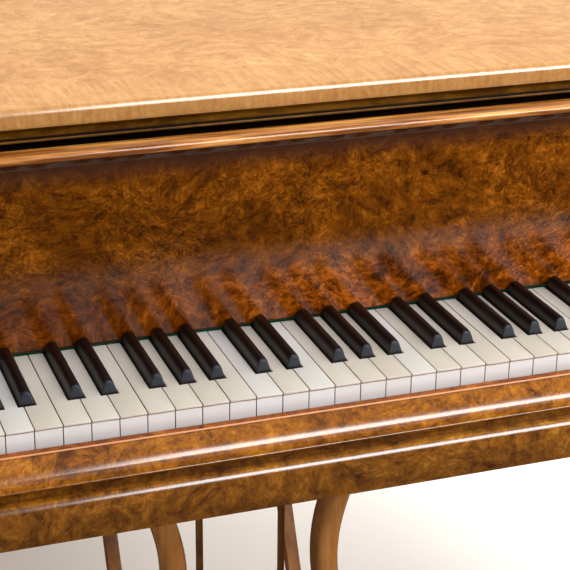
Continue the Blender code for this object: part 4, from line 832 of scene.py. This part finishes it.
def sharp_blocks(centres):
    """Sections of the block: x from the width at each height, z scaled by the top line."""
    s = np.array([0.0, 0.0006, 0.0013, 0.0020, 0.0027, 0.0032, 0.0038, 0.0047, 0.0060, 0.0300, 0.0944, 0.0962, 0.0965])
    top = np.array([0.0009, 0.0034, 0.0062, 0.0088, 0.0104, 0.0111, 0.0116, 0.01188, 0.0120, 0.0120, 0.0120, 0.0108, 0.0030])
    corner = np.radians(np.linspace(0.0, 90.0, 7))
    wide, tall = 0.0030, 0.0034
    rise = np.concatenate([[0.0, 0.0005, 0.0016, 0.0060], SHARP_HEIGHT - tall + tall * np.sin(corner)])
    share = np.concatenate([np.ones(4), 1 - wide * (1 - np.cos(corner)) / (SHARP_TOP_WIDTH / 2)])
    z = rise[None] * top[:, None] / SHARP_HEIGHT
    half = SHARP_WIDTH / 2 + (SHARP_TOP_WIDTH - SHARP_WIDTH) / 2 * z / SHARP_HEIGHT
    half = (half - 0.0006 + 0.0006 * np.exp(-z / 0.0006)) * share[None]
    x = np.concatenate([-half, half[:, ::-1]], axis=1)
    z = np.concatenate([z, z[:, ::-1]], axis=1)
    y = np.broadcast_to((KEY_FRONT + SHARP_FRONT + s)[:, None], x.shape)
    section = np.stack([x, y, z + KEY_TOP + 0.0001], axis=-1)
    copies = section[None] + np.column_stack([centres, np.zeros((len(centres), 2))])[:, None, None, :]
    return skin(copies)


def sharp_sticks(centres):
    half = SHARP_WIDTH / 2 - 0.0004
    y0, y1 = KEY_FRONT + SHARP_FRONT + 0.0003, KEY_FRONT + KEY_BACK
    corners = np.array([(-half, y0), (half, y0), (half, y1), (-half, y1)])
    outline = corners[None] + np.column_stack([centres, np.zeros(len(centres))])[:, None]
    return slab(outline, [(0.0, KEY_TOP - 0.022), (0.0, KEY_TOP)])


has_sharp = np.flatnonzero(~np.isnan(sharp_x))
fixed = np.setdiff1d(has_sharp, OCTAVE)
piece("ebony_blocks", together(sharp_blocks(sharp_x[fixed])), finishes["ebony"], "keyboard", ["sharp_keys"], 40.0)
rail = block((-KEYS_HALF, -0.658, 0.6806), (KEYS_HALF, -0.638, 0.7020))
piece("sharp_sticks", together(sharp_sticks(sharp_x[fixed]), rail), finishes["black"], "keyboard")
for i in np.intersect1d(has_sharp, OCTAVE):
    name, own = f"{LETTERS[i % 7]}4_sharp", sharp_x[[i]]
    piece(f"ebony_{name}", together(sharp_blocks(own)), finishes["ebony"], f"note_{name}", [f"key_{name}"], 40.0)
    piece(f"stick_{name}", together(sharp_sticks(own)), finishes["black"], f"note_{name}")

# %% [markdown]
# ## Fallboard, key slip and felt
# These are mouldings: one profile carried along the keyboard. Their round parts are true arcs
# with many points, because polish shows every facet. Strips of one profile with different
# veneers are separate pieces that meet at a seam, as the real veneers do.

# %%
# Mouldings round the keys


def face_depth(rise, back=0.0):
    """Depth of the fallboard's face, or of a line behind it, at a height."""
    return FALL_FACE + back - FALL_LEAN * rise


nose = (face_depth(BOARD_TOP) - COVE_DEPTH, BOARD_TOP + COVE_HEIGHT)
seam = nose[1] + 0.0004
board = [(face_depth(0.003), 0.003), (face_depth(BOARD_TOP), BOARD_TOP), (face_depth(BOARD_TOP) - 0.0004, BOARD_TOP)]
board += arc((nose[0], BOARD_TOP), (COVE_DEPTH - 0.0004, COVE_HEIGHT), 2, 90, 24).tolist()
board += [(nose[0], seam), (face_depth(seam, FALL_THICK), seam), (face_depth(0.003, FALL_THICK), 0.003)]
piece("fallboard_face", together(carried(from_keys(board), -REACH, REACH)), veneers["board"], "fall", ["fallboard"])

top = nose[1] + 2 * NOSE
lip = bends((nose[0] - 0.0004, nose[1]), (268, 166, 0.0038), (166, 142, 0.0052), (142, 92, 0.0020)).tolist()
lip += [(nose[0] + 0.007, top + 0.0007), (nose[0] + 0.014, top + 0.0001), (nose[0] + 0.022, top - 0.0012)]
lip += [(face_depth(top, FALL_THICK), top - 0.005), (face_depth(seam, FALL_THICK), nose[1] + 0.0001)]
piece("fallboard_lip", together(carried(from_keys(lip), -REACH, REACH)), veneers["lip"], "fall")

slip = [(-0.0030, -0.0567), (-0.0030, -0.0168), (-0.0034, -0.0164)]
slip += bends((-0.0086, -0.0162), (90, 131, 0.0009), (131, 155, 0.0045), (155, 220, 0.0006)).tolist()
slip += curve((-0.0104, -0.0191), (-0.0156, -0.0211), (-0.0199, -0.0242), (-0.0235, -0.0290), 20).tolist()
slip += curve((-0.0235, -0.0290), (-0.0264, -0.0328), (-0.0265, -0.0362), (-0.0268, -0.0392), 14).tolist()[1:]
slip += bends((-0.0268, -0.0392), (120, 160, 0.0020), (160, 270, 0.0006)).tolist()[1:]
slip += curve((-0.0262, -0.0412), (-0.0200, -0.0422), (-0.0145, -0.0450), (-0.0135, -0.0515), 10).tolist()
slip += [(-0.0130, -0.0567)]
piece("slip_moulding", together(carried(from_keys(slip), -WALL_FACE + 0.0003, WALL_FACE - 0.0003)), veneers["slip"], "case", ["key_slip"])

strip = arc((0.1422, 0.00155), 0.00125, 270, 90, 8).tolist() + [(0.1640, 0.0028), (0.1640, 0.0003)]
piece("key_felt", together(carried(from_keys(strip), -REACH, REACH)), finishes["felt"], "case")

bed = [(-0.0130, -0.0570)]
bed += bends((-0.0171, -0.0575), (97, 129, 0.0010), (129, 157, 0.0120), (157, 180, 0.0014)).tolist()
bed += arc((-0.0205, -0.0946), 0.0010, 180, 270, 6).tolist() + [(0.2000, -0.0956), (0.2000, -0.0570)]
reach, rod_y = WALL_FACE - 0.0003, KEY_FRONT + 0.260
ahead = [(-reach, KEY_FRONT + 0.2002), (reach, KEY_FRONT + 0.2002), (reach, rod_y)]
ahead += arc((PEDAL_X, rod_y), 0.0055, 0, -180, 10).tolist() + arc((-PEDAL_X, rod_y), 0.0055, 0, -180, 10).tolist()
ahead += [(-reach, rod_y)]
joint = rod_y + 0.0002
behind = [(reach, KEY_FRONT + 0.4697), (-reach, KEY_FRONT + 0.4697), (-reach, joint)]
behind += arc((-PEDAL_X, joint), 0.0055, 180, 0, 10).tolist() + arc((PEDAL_X, joint), 0.0055, 180, 0, 10).tolist()
behind += [(reach, joint)]
planks = [slab(np.array(plank), [(0.0, KEY_TOP - 0.0956), (0.0, KEY_TOP - 0.0570)]) for plank in (ahead, behind)]
bed = together(carried(from_keys(bed), -reach, reach), *planks)
piece("keybed_board", bed, veneers["slip"], "case", ["keybed"])

# %% [markdown]
# ## Lid
# The lid is one board in two pieces, with its upper edges rounded and a small moulding under
# its front edge. Its plan is the case's, a little larger, so the curve is worked out again
# with more points.

# %%
# Lid boards
FRONT_Y, TAIL_Y = -1.060, 1.054
SPLIT_Y, SPLIT_GAP = LID_FRONT_Y + 0.420, 0.006


def treble_line(outset=0.0, steps=40):
    """Outer face of the case from the treble cheek round the tail to the spine."""
    bend = np.array((RIM_X, FRONT_Y + 0.960))
    shoulder = np.array((RIM_X - 0.434, bend[1] + 0.580))
    tail = np.array((-RIM_X + 0.634, TAIL_Y - 0.054))
    sweep = (shoulder[0] - tail[0], tail[1] - shoulder[1])
    leaving = np.array((shoulder[0] - 0.55 * sweep[0], shoulder[1] + 0.34 * sweep[1]))
    entering = shoulder + 0.50 * (shoulder - leaving)
    line = [[(RIM_X, FRONT_Y)], curve(bend, (bend[0], bend[1] + 0.348), entering, shoulder, steps)]
    line += [curve(shoulder, leaving, (tail[0] + 0.12 * sweep[0], tail[1] - 0.42 * sweep[1]), tail, steps)[1:]]
    line += [arc((tail[0] - 0.054, tail[1]), 0.054, 0, 90, 14)[1:], [(-RIM_X, TAIL_Y)]]
    line = np.concatenate([np.asarray(part, float) for part in line])
    closed = np.concatenate([line, [(-RIM_X, FRONT_Y)]])
    return drawn_in(closed, -outset)[:-1]


lid_side = treble_line(0.006)
lid_side[-1, 0] = -RIM_X
behind = lid_side[lid_side[:, 1] > SPLIT_Y]
main_plan = np.concatenate([[(behind[0, 0], SPLIT_Y + SPLIT_GAP / 2)], behind, [(-RIM_X, SPLIT_Y + SPLIT_GAP / 2)]])
square = np.ones(len(main_plan))
square[-1] = 0.0
piece("lid_board", together(slab(main_plan, eased(LID_LOW, LID_HIGH), square)), veneers["lid"], "lid", ["lid_main"])

lid_right = lid_side[0, 0]
flap_plan = [(-RIM_X, LID_FRONT_Y), (lid_right, LID_FRONT_Y), (lid_right, SPLIT_Y - SPLIT_GAP / 2), (-RIM_X, SPLIT_Y - SPLIT_GAP / 2)]
flap = slab(flap_plan, eased(LID_LOW, LID_HIGH), (1.0, 1.0, 0.0, 1.0))
start, groove, low = LID_FRONT_Y, LID_LOW - 0.0106, LID_LOW - 0.0138
moulding = [(start + 0.013, LID_LOW + 0.0002), (start + 0.0020, LID_LOW + 0.0002)]
moulding += curve((start + 0.0020, LID_LOW - 0.0006), (start + 0.0028, LID_LOW - 0.0030),
                  (start + 0.0065, LID_LOW - 0.0030), (start + 0.0065, LID_LOW - 0.0075), 12).tolist()
moulding += [(start + 0.0065, groove + 0.0005), (start + 0.0075, groove + 0.0002), (start + 0.0075, groove - 0.0003)]
moulding += bends((start + 0.0045, groove - 0.0003), (90, 180, 0.0012), (180, 265, 0.0017)).tolist()
moulding += [(start + 0.013, low)]
piece("lid_flap_board", together(flap), veneers["lid"], "lid_flap", ["lid_front"])
piece("lid_moulding", together(carried(moulding, -REACH, REACH)), veneers["moulding"], "lid_flap")

# %% [markdown]
# ## Case walls
# A wall is a section carried along a plan: a rectangle with its upper edges eased. At the front
# the walls sweep down to the arms, so the section's height follows the arm's side profile.

# %%
# Spine and bentside
CASE_BOTTOM = KEY_TOP - 0.0956
ARM_TOP, ARM_NOSE, ARM_BACK = KEY_TOP + 0.062, 0.018, KEY_FRONT + 0.108
mid = np.array((ARM_BACK - 0.024, KEY_TOP + 0.1331))
flat = np.array((KEY_FRONT + 0.010, ARM_TOP + 0.002))
arm = [arc((FRONT_Y + ARM_NOSE, ARM_TOP - ARM_NOSE), ARM_NOSE, 180, 92, 14)]
arm += [curve(flat, (KEY_FRONT + 0.050, ARM_TOP + 0.008), mid - (0.010, 0.038), mid, 22)]
arm += [curve(mid, mid + (0.008, 0.030), (ARM_BACK - 0.020, RIM_TOP), (ARM_BACK, RIM_TOP), 18)[1:]]
arm = np.concatenate(arm)


def wall(outer, inner, ease=0.0016):
    """A wall between two plan lines, its height taken from the arm near the front."""
    tops = np.interp(outer[:, 1], arm[:, 0], arm[:, 1], right=RIM_TOP)
    turn = np.linspace(0.0, pi / 2, 4)
    over = [(0.0, -1.0)] + [(ease * (1 - np.cos(t)), ease * (1 - np.sin(t))) for t in turn]
    across = inner - outer
    across /= np.linalg.norm(across, axis=1, keepdims=True)
    columns = []
    for line, way in ((outer, 1.0), (inner, -1.0)):
        side = [np.column_stack([line + way * across * inset, tops - drop]) for inset, drop in over[1:]]
        side = [np.column_stack([line, np.full(len(line), CASE_BOTTOM)])] + side
        columns += side if way > 0 else side[::-1]
    return skin(np.stack(columns, axis=1))


ys = np.concatenate([arm[:, 0], np.linspace(ARM_BACK + 0.02, TAIL_Y, 12)])
straight = np.stack([np.full(len(ys), -RIM_X), ys], axis=1)
spine_wall = wall(straight, straight + (WALL, 0.0))
front_run = np.stack([np.full(len(arm), RIM_X), arm[:, 0]], axis=1)
outer = np.concatenate([front_run, treble_line(0.0)[1:]])
outer[-1] = (-WALL_FACE + 0.0003, TAIL_Y)
closing = np.concatenate([outer, [(-WALL_FACE - 1.0, TAIL_Y), (-WALL_FACE - 1.0, outer[0, 1])]])
inner = drawn_in(closing, WALL)[:-2]
inner[0, 1], inner[-1, 0] = outer[0, 1], outer[-1, 0]
piece("spine_wall", together(spine_wall), veneers["case"], "case", ["spine"])
piece("bentside_wall", together(wall(outer, inner)), veneers["case"], "case", ["bentside"])

# %% [markdown]
# ## Legs
# A leg is turned: its radius at a height is a smooth line between a few knots, with half-round
# beads added. Shallow flutes take a little from the radius round the shaft.

# %%
# Turned and fluted legs
LEG_TOP, LEG_LOW, LEG_RADIUS, LEG_BLOCK, BLOCK_HEIGHT = CASE_BOTTOM - 0.0003, 0.098, 0.072, 0.130, 0.060
LEG_PLACES = {"left": (-0.609, -0.900), "right": (0.609, -0.900), "back": (-0.404, 0.844)}
KNOTS = ((0.0, 0.33), (0.03, 0.40), (0.065, 0.35), (0.085, 0.41), (0.635, 0.65), (0.645, 0.68), (0.685, 0.68),
         (0.70, 0.61), (0.745, 0.78), (0.83, 0.97), (0.875, 1.0), (0.94, 0.82), (0.955, 0.84), (1.0, 0.86))
BEADS = ((0.030, 0.013, 0.07), (0.655, 0.016, 0.11), (0.684, 0.009, 0.06), (0.957, 0.013, 0.07))


def leg(x, y):
    share = np.unique(np.concatenate([np.linspace(0.0, 1.0, 90)] + [
        middle + half * np.sin(np.linspace(-pi / 2, pi / 2, 9)) for middle, half, _ in BEADS]))
    z, r = np.array(KNOTS).T
    place = np.interp(share, z, np.arange(len(z)))
    part = place % 1.0
    eased_part = np.where(np.isin(place // 1, (3,)), part, part * part * (3 - 2 * part))
    radius = np.interp(place // 1 + eased_part, np.arange(len(r)), r)
    for middle, half, proud in BEADS:
        radius += proud * np.sqrt(np.clip(1 - ((share - middle) / half) ** 2, 0.0, 1.0))
    angle = np.linspace(0.0, 2 * pi, 97)[:-1]
    shaft = np.clip((share - 0.10) * 40, 0, 1) * np.clip((0.62 - share) * 40, 0, 1)
    flutes = 0.055 * shaft[:, None] * np.clip(np.cos(12 * angle), -0.1, 1.0)[None]
    radii = LEG_RADIUS * (np.minimum(radius, 1.0)[:, None] - flutes)
    high = LEG_LOW + share * (LEG_TOP - BLOCK_HEIGHT - LEG_LOW)
    rings = np.stack([x + radii * np.cos(angle), y + radii * np.sin(angle), np.broadcast_to(high[:, None], radii.shape)], axis=-1)
    half = LEG_BLOCK / 2
    square = [(x - half, y - half), (x + half, y - half), (x + half, y + half), (x - half, y + half)]
    low = LEG_TOP - BLOCK_HEIGHT
    levels = [(0.006, low), (0.004, low + 0.0012), (0.0010, low + 0.0030), (0.0, low + 0.0060), (0.0, LEG_TOP)]
    return together(skin(rings), slab(square, levels))


for name, place in LEG_PLACES.items():
    piece(f"turned_leg_{name}", leg(*place), veneers["upright"], "case", [f"leg_{name}"])

# %% [markdown]
# ## Lyre and pedals
# The posts are an oval section carried along an S-shaped line. The box has a moulded plate
# below and above, and its slots are the spaces between three blocks.

# %%
# Lyre and pedals
LYRE_Y, LYRE_HALF, BOX_LOW, BOX_HIGH = KEY_FRONT + 0.230, 0.130, 0.068, 0.145
HEAD_LOW, WAIST_X, PEDAL_Z = LEG_TOP - 0.048, 0.088, 0.109
ROD_Y, HEAD_HALF, BOX_HALF = LYRE_Y + 0.030, 0.045, 0.065


def plate(half_x, half_y, low, high, ease=0.004):
    """A board centred on the lyre, with rounded edges above and below."""
    corners = [(-half_x, -half_y), (half_x, -half_y), (half_x, half_y), (-half_x, half_y)]
    return slab(np.array(corners) + (0.0, LYRE_Y), rounded(low, high, ease, 5, both=True))


def post(way):
    """An oval section carried down one side of the lyre."""
    top, waist = np.array((LYRE_HALF - 0.026, HEAD_LOW + 0.002)), np.array((WAIST_X, (BOX_HIGH + HEAD_LOW) / 2))
    end, bow = np.array((LYRE_HALF - 0.026, BOX_HIGH - 0.002)), (top[1] - waist[1]) * 0.55
    line = np.concatenate([curve(top, top + (0.026, -0.6 * bow), waist + (-0.026, bow), waist, 26),
                           curve(waist, waist + (0.0156, -0.6 * bow), end + (0.0, bow), end, 26)[1:]])
    along = np.gradient(line, axis=0)
    along /= np.linalg.norm(along, axis=1, keepdims=True)
    angle = np.linspace(0.0, 2 * pi, 33)[:-1]
    wide = 0.013 * np.sign(np.cos(angle)) * np.abs(np.cos(angle)) ** 0.7
    thick = 0.017 * np.sign(np.sin(angle)) * np.abs(np.sin(angle)) ** 0.7
    x = line[:, :1] - along[:, 1:] * wide
    z = line[:, 1:] + along[:, :1] * wide
    return skin(np.stack([way * x, np.broadcast_to(LYRE_Y + thick, x.shape), z], axis=-1))


bay = 0.013
blocks = [block((x0, LYRE_Y - BOX_HALF + 0.004, BOX_LOW + 0.017), (x1, LYRE_Y + BOX_HALF - 0.004, BOX_HIGH - 0.012))
          for x0, x1 in ((-LYRE_HALF + 0.004, -PEDAL_X - bay), (-PEDAL_X + bay, PEDAL_X - bay), (PEDAL_X + bay, LYRE_HALF - 0.004))]
blocks.append(block((-LYRE_HALF + 0.008, LYRE_Y + 0.050, BOX_LOW + 0.017), (LYRE_HALF - 0.008, LYRE_Y + 0.058, BOX_HIGH - 0.012)))
notched = [(-LYRE_HALF, -BOX_HALF), (LYRE_HALF, -BOX_HALF), (LYRE_HALF, BOX_HALF)]
for x in (PEDAL_X, -PEDAL_X):
    notched += [(x + 0.006, BOX_HALF), (x + 0.006, 0.023), (x - 0.006, 0.023), (x - 0.006, BOX_HALF)]
notched.append((-LYRE_HALF, BOX_HALF))
cap = slab(np.array(notched) + (0.0, LYRE_Y), rounded(BOX_HIGH - 0.013, BOX_HIGH, 0.003, 4, both=True))
head = plate(LYRE_HALF, HEAD_HALF, HEAD_LOW, LEG_TOP, 0.006)
base = plate(LYRE_HALF, BOX_HALF, BOX_LOW, BOX_LOW + 0.018, 0.005)
piece("lyre_frame", together(head, base, cap, post(1.0), post(-1.0), *blocks), veneers["upright"], "case", ["lyre"])

for name, x in (("soft", -PEDAL_X), ("sustain", PEDAL_X)):
    side = [[(0.008, 0.040)], curve((0.008, -0.080), (0.008, -0.098), (0.0205, -0.092), (0.021, -0.110), 12),
            arc((0.0, -0.114), (0.021, 0.021), 0, -90, 14)[1:]]
    side = np.concatenate([np.asarray(points) for points in side])
    outline = np.concatenate([side, (side[:-1] * (-1, 1))[::-1]]) + (x, LYRE_Y)
    toe = slab(outline, rounded(PEDAL_Z - 0.004, PEDAL_Z + 0.004, 0.0028, 5, both=True))
    pin = skin([np.column_stack([np.full(13, px)[:-1], LYRE_Y + 0.003 * np.cos(t), PEDAL_Z + 0.003 * np.sin(t)])
                for px in (x - 0.0125, x + 0.0125) for t in [np.linspace(0, 2 * pi, 13)[:-1]]])
    piece(f"brass_pedal_{name}", together(toe, pin), finishes["brass"], f"{name}_pedal", [f"pedal_{name}"])

# %% [markdown]
# ## Strings
# Eighty-eight notes: twenty-six in the bass, which cross over the others, and sixty-two above
# with three strings each. Lengths fall by the same ratio from note to note, as they do on a
# real scale. Every string is a thin prism through five points: its tuning pin, the stud that
# sets its height, the front and back of its bridge, and its hitch pin on the iron frame.

# %%
# Strings, tuning pins, studs and hitch pins
BASS_NOTES, NOTES = 26, 88
STRIKE_Y, STUD_Y, PIN_Y = KEY_FRONT + 0.440, -0.630, -0.690
BRIDGE_TOP, BASS_TOP, PLATE_TOP, PLANK_TOP = 0.8533, 0.8673, 0.8433, 0.840
room_x, belly_y, room_y = 0.577, -0.530, 1.584

tails = (tail_left + tail_right) / 2
centres = np.sort(np.concatenate([tails, sharp_x[has_sharp]]))
long_path = curve((room_x - 0.020, belly_y + 0.022), (0.34 * room_x, belly_y + 0.06 * room_y),
                  (-0.17 * room_x, belly_y + 0.31 * room_y), (-0.66 * room_x, belly_y + 0.79 * room_y), 60)
short_path = curve((-0.60 * room_x, belly_y + 0.885 * room_y), (-0.48 * room_x, belly_y + 0.875 * room_y),
                   (-0.33 * room_x, belly_y + 0.83 * room_y), (-0.20 * room_x, belly_y + 0.765 * room_y), 30)

note = np.repeat(np.arange(NOTES), np.where(np.arange(NOTES) < 10, 1, np.where(np.arange(NOTES) < BASS_NOTES, 2, 3)))
first = np.searchsorted(note, note)
choir = np.arange(len(note)) - first
count = np.bincount(note)[note]
side = (choir - (count - 1) / 2) * 0.0028
bass = note < BASS_NOTES
length = 0.085 * 15.4 ** ((NOTES - 1 - note) / (NOTES - 1 - BASS_NOTES))
bridge_y = np.clip(STRIKE_Y + length, long_path[0, 1], long_path[-1, 1] - 0.01)
treble_x = np.interp(bridge_y, long_path[:, 1], long_path[:, 0])
along = note / (BASS_NOTES - 1) * (len(short_path) - 1)
bass_x = np.interp(along, np.arange(len(short_path)), short_path[:, 0])
bass_y = np.interp(along, np.arange(len(short_path)), short_path[:, 1])
on_bridge = np.column_stack([np.where(bass, bass_x, treble_x) + side, np.where(bass, bass_y, bridge_y)])
at_strike = np.column_stack([centres[note] + side, np.full(len(note), STRIKE_Y)])
way = on_bridge - at_strike
way /= np.linalg.norm(way, axis=1, keepdims=True)


def reach_of(points, ways, outline):
    """Distance from each point along its way to a closed outline: every edge is tried at once."""
    start, edge = outline, np.roll(outline, -1, axis=0) - outline
    gap = start[None] - points[:, None]
    cross = ways[:, None, 0] * edge[None, :, 1] - ways[:, None, 1] * edge[None, :, 0]
    cross = np.where(np.abs(cross) < 1e-9, 1e-9, cross)
    far = (gap[..., 0] * edge[None, :, 1] - gap[..., 1] * edge[None, :, 0]) / cross
    share = (gap[..., 0] * ways[:, None, 1] - gap[..., 1] * ways[:, None, 0]) / cross
    return np.where((far > 0) & (share >= 0) & (share <= 1), far, np.inf).min(axis=1)


rim_line = drawn_in(np.concatenate([treble_line(0.0), [(-RIM_X, FRONT_Y)]]), WALL + 0.062)
tail = reach_of(on_bridge, way, rim_line)
hitch = on_bridge + way * tail[:, None]
stud = at_strike + way * ((STUD_Y - STRIKE_Y) / way[:, 1])[:, None]
pin = np.column_stack([stud[:, 0] * 0.955 + side, PIN_Y - 0.026 * choir - 0.012 * (note % 2)])
wire = np.where(bass, 0.0018 - 0.00004 * note, 0.00050)
bridge_z = np.where(bass, BASS_TOP, BRIDGE_TOP) + wire
stud_z = BRIDGE_TOP - 0.0008 - wire
flat_z = np.where(bass, stud_z, bridge_z - 0.0012)
stops = [np.column_stack([pin, np.full(len(pin), PLANK_TOP + 0.016)]), np.column_stack([stud, flat_z])]
stops += [np.column_stack([on_bridge + way * step, bridge_z]) for step in (-0.012, 0.012)]
stops += [np.column_stack([hitch, np.full(len(hitch), PLATE_TOP + 0.003)])]
across = np.column_stack([way[:, 1], -way[:, 0], np.zeros(len(way))])
rings = []
for stop in stops:
    for_corners = [across * (wire * np.cos(a))[:, None] + np.array((0, 0, 1.0)) * (wire * np.sin(a))[:, None]
                   for a in np.arange(6) * pi / 3]
    rings.append(np.stack([stop + corner for corner in for_corners], axis=1))
strings = np.stack(rings, axis=1)
piece("steel_strings", together(skin(strings[~bass])), finishes["steel"], "case", angle=70.0)
piece("copper_strings", together(skin(strings[bass])), finishes["copper"], "case", angle=70.0)


def studs(places, profile, sides=8):
    """A small turned pin at each place, from (radius, height) pairs."""
    angle = np.arange(sides) * 2 * pi / sides
    ring = np.stack([np.cos(angle), np.sin(angle)], axis=-1)
    levels = [np.concatenate([places[:, None] + radius * ring, np.full((len(places), sides, 1), level)], axis=-1)
              for radius, level in profile]
    return skin(np.stack(levels, axis=1))


pins = studs(pin, [(0.0034, PLANK_TOP + 0.0002), (0.0034, PLANK_TOP + 0.022), (0.0026, PLANK_TOP + 0.0225),
                   (0.0022, PLANK_TOP + 0.028)])
piece("tuning_pins", together(pins), finishes["steel"], "case", angle=50.0)
places = np.column_stack([centres, np.full(NOTES, STUD_Y)])
middle = np.array([stud[note == n].mean(axis=0) for n in range(NOTES)])
piece("string_studs", together(studs(middle, [(0.0045, 0.8504), (0.0045, 0.8520), (0.0036, 0.8540), (0.0036, 0.8570), (0.0022, 0.8580)])),
      finishes["brass"], "case", angle=50.0)
piece("hitch_pins", together(studs(hitch + way * 0.004, [(0.0020, PLATE_TOP + 0.0002), (0.0020, PLATE_TOP + 0.009)], 6)),
      finishes["steel"], "case", angle=50.0)

# %% [markdown]
# ## Dressing the rest
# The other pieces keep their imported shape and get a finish.

# %%
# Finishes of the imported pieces
dressing = {
    "key_block_bass": veneers["slip"], "key_block_treble": veneers["slip"],
    "music_desk": veneers["case"], "music_shelf": veneers["shelf"], "prop_stick": veneers["stick"],
    "spine": veneers["case"], "bentside": veneers["case"],
    "lyre": veneers["upright"], "soundboard": finishes["spruce"], "damper_rank": finishes["black"],
    "iron_frame": finishes["gilt"], "name_rail": finishes["black"],
}
for name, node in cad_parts.items():
    if name in dressing:
        paint = dressing[name]
    elif name.startswith(("leg_", "lyre_brace")):
        paint = veneers["upright"]
    elif name.startswith(("caster", "pedal", "lid_hinge", "flap_hinge")):
        paint = finishes["brass"]
    else:
        paint = finishes["beech"]
    node.data.materials.clear()
    node.data.materials.append(paint)
print("dressed", len(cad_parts), "nodes")
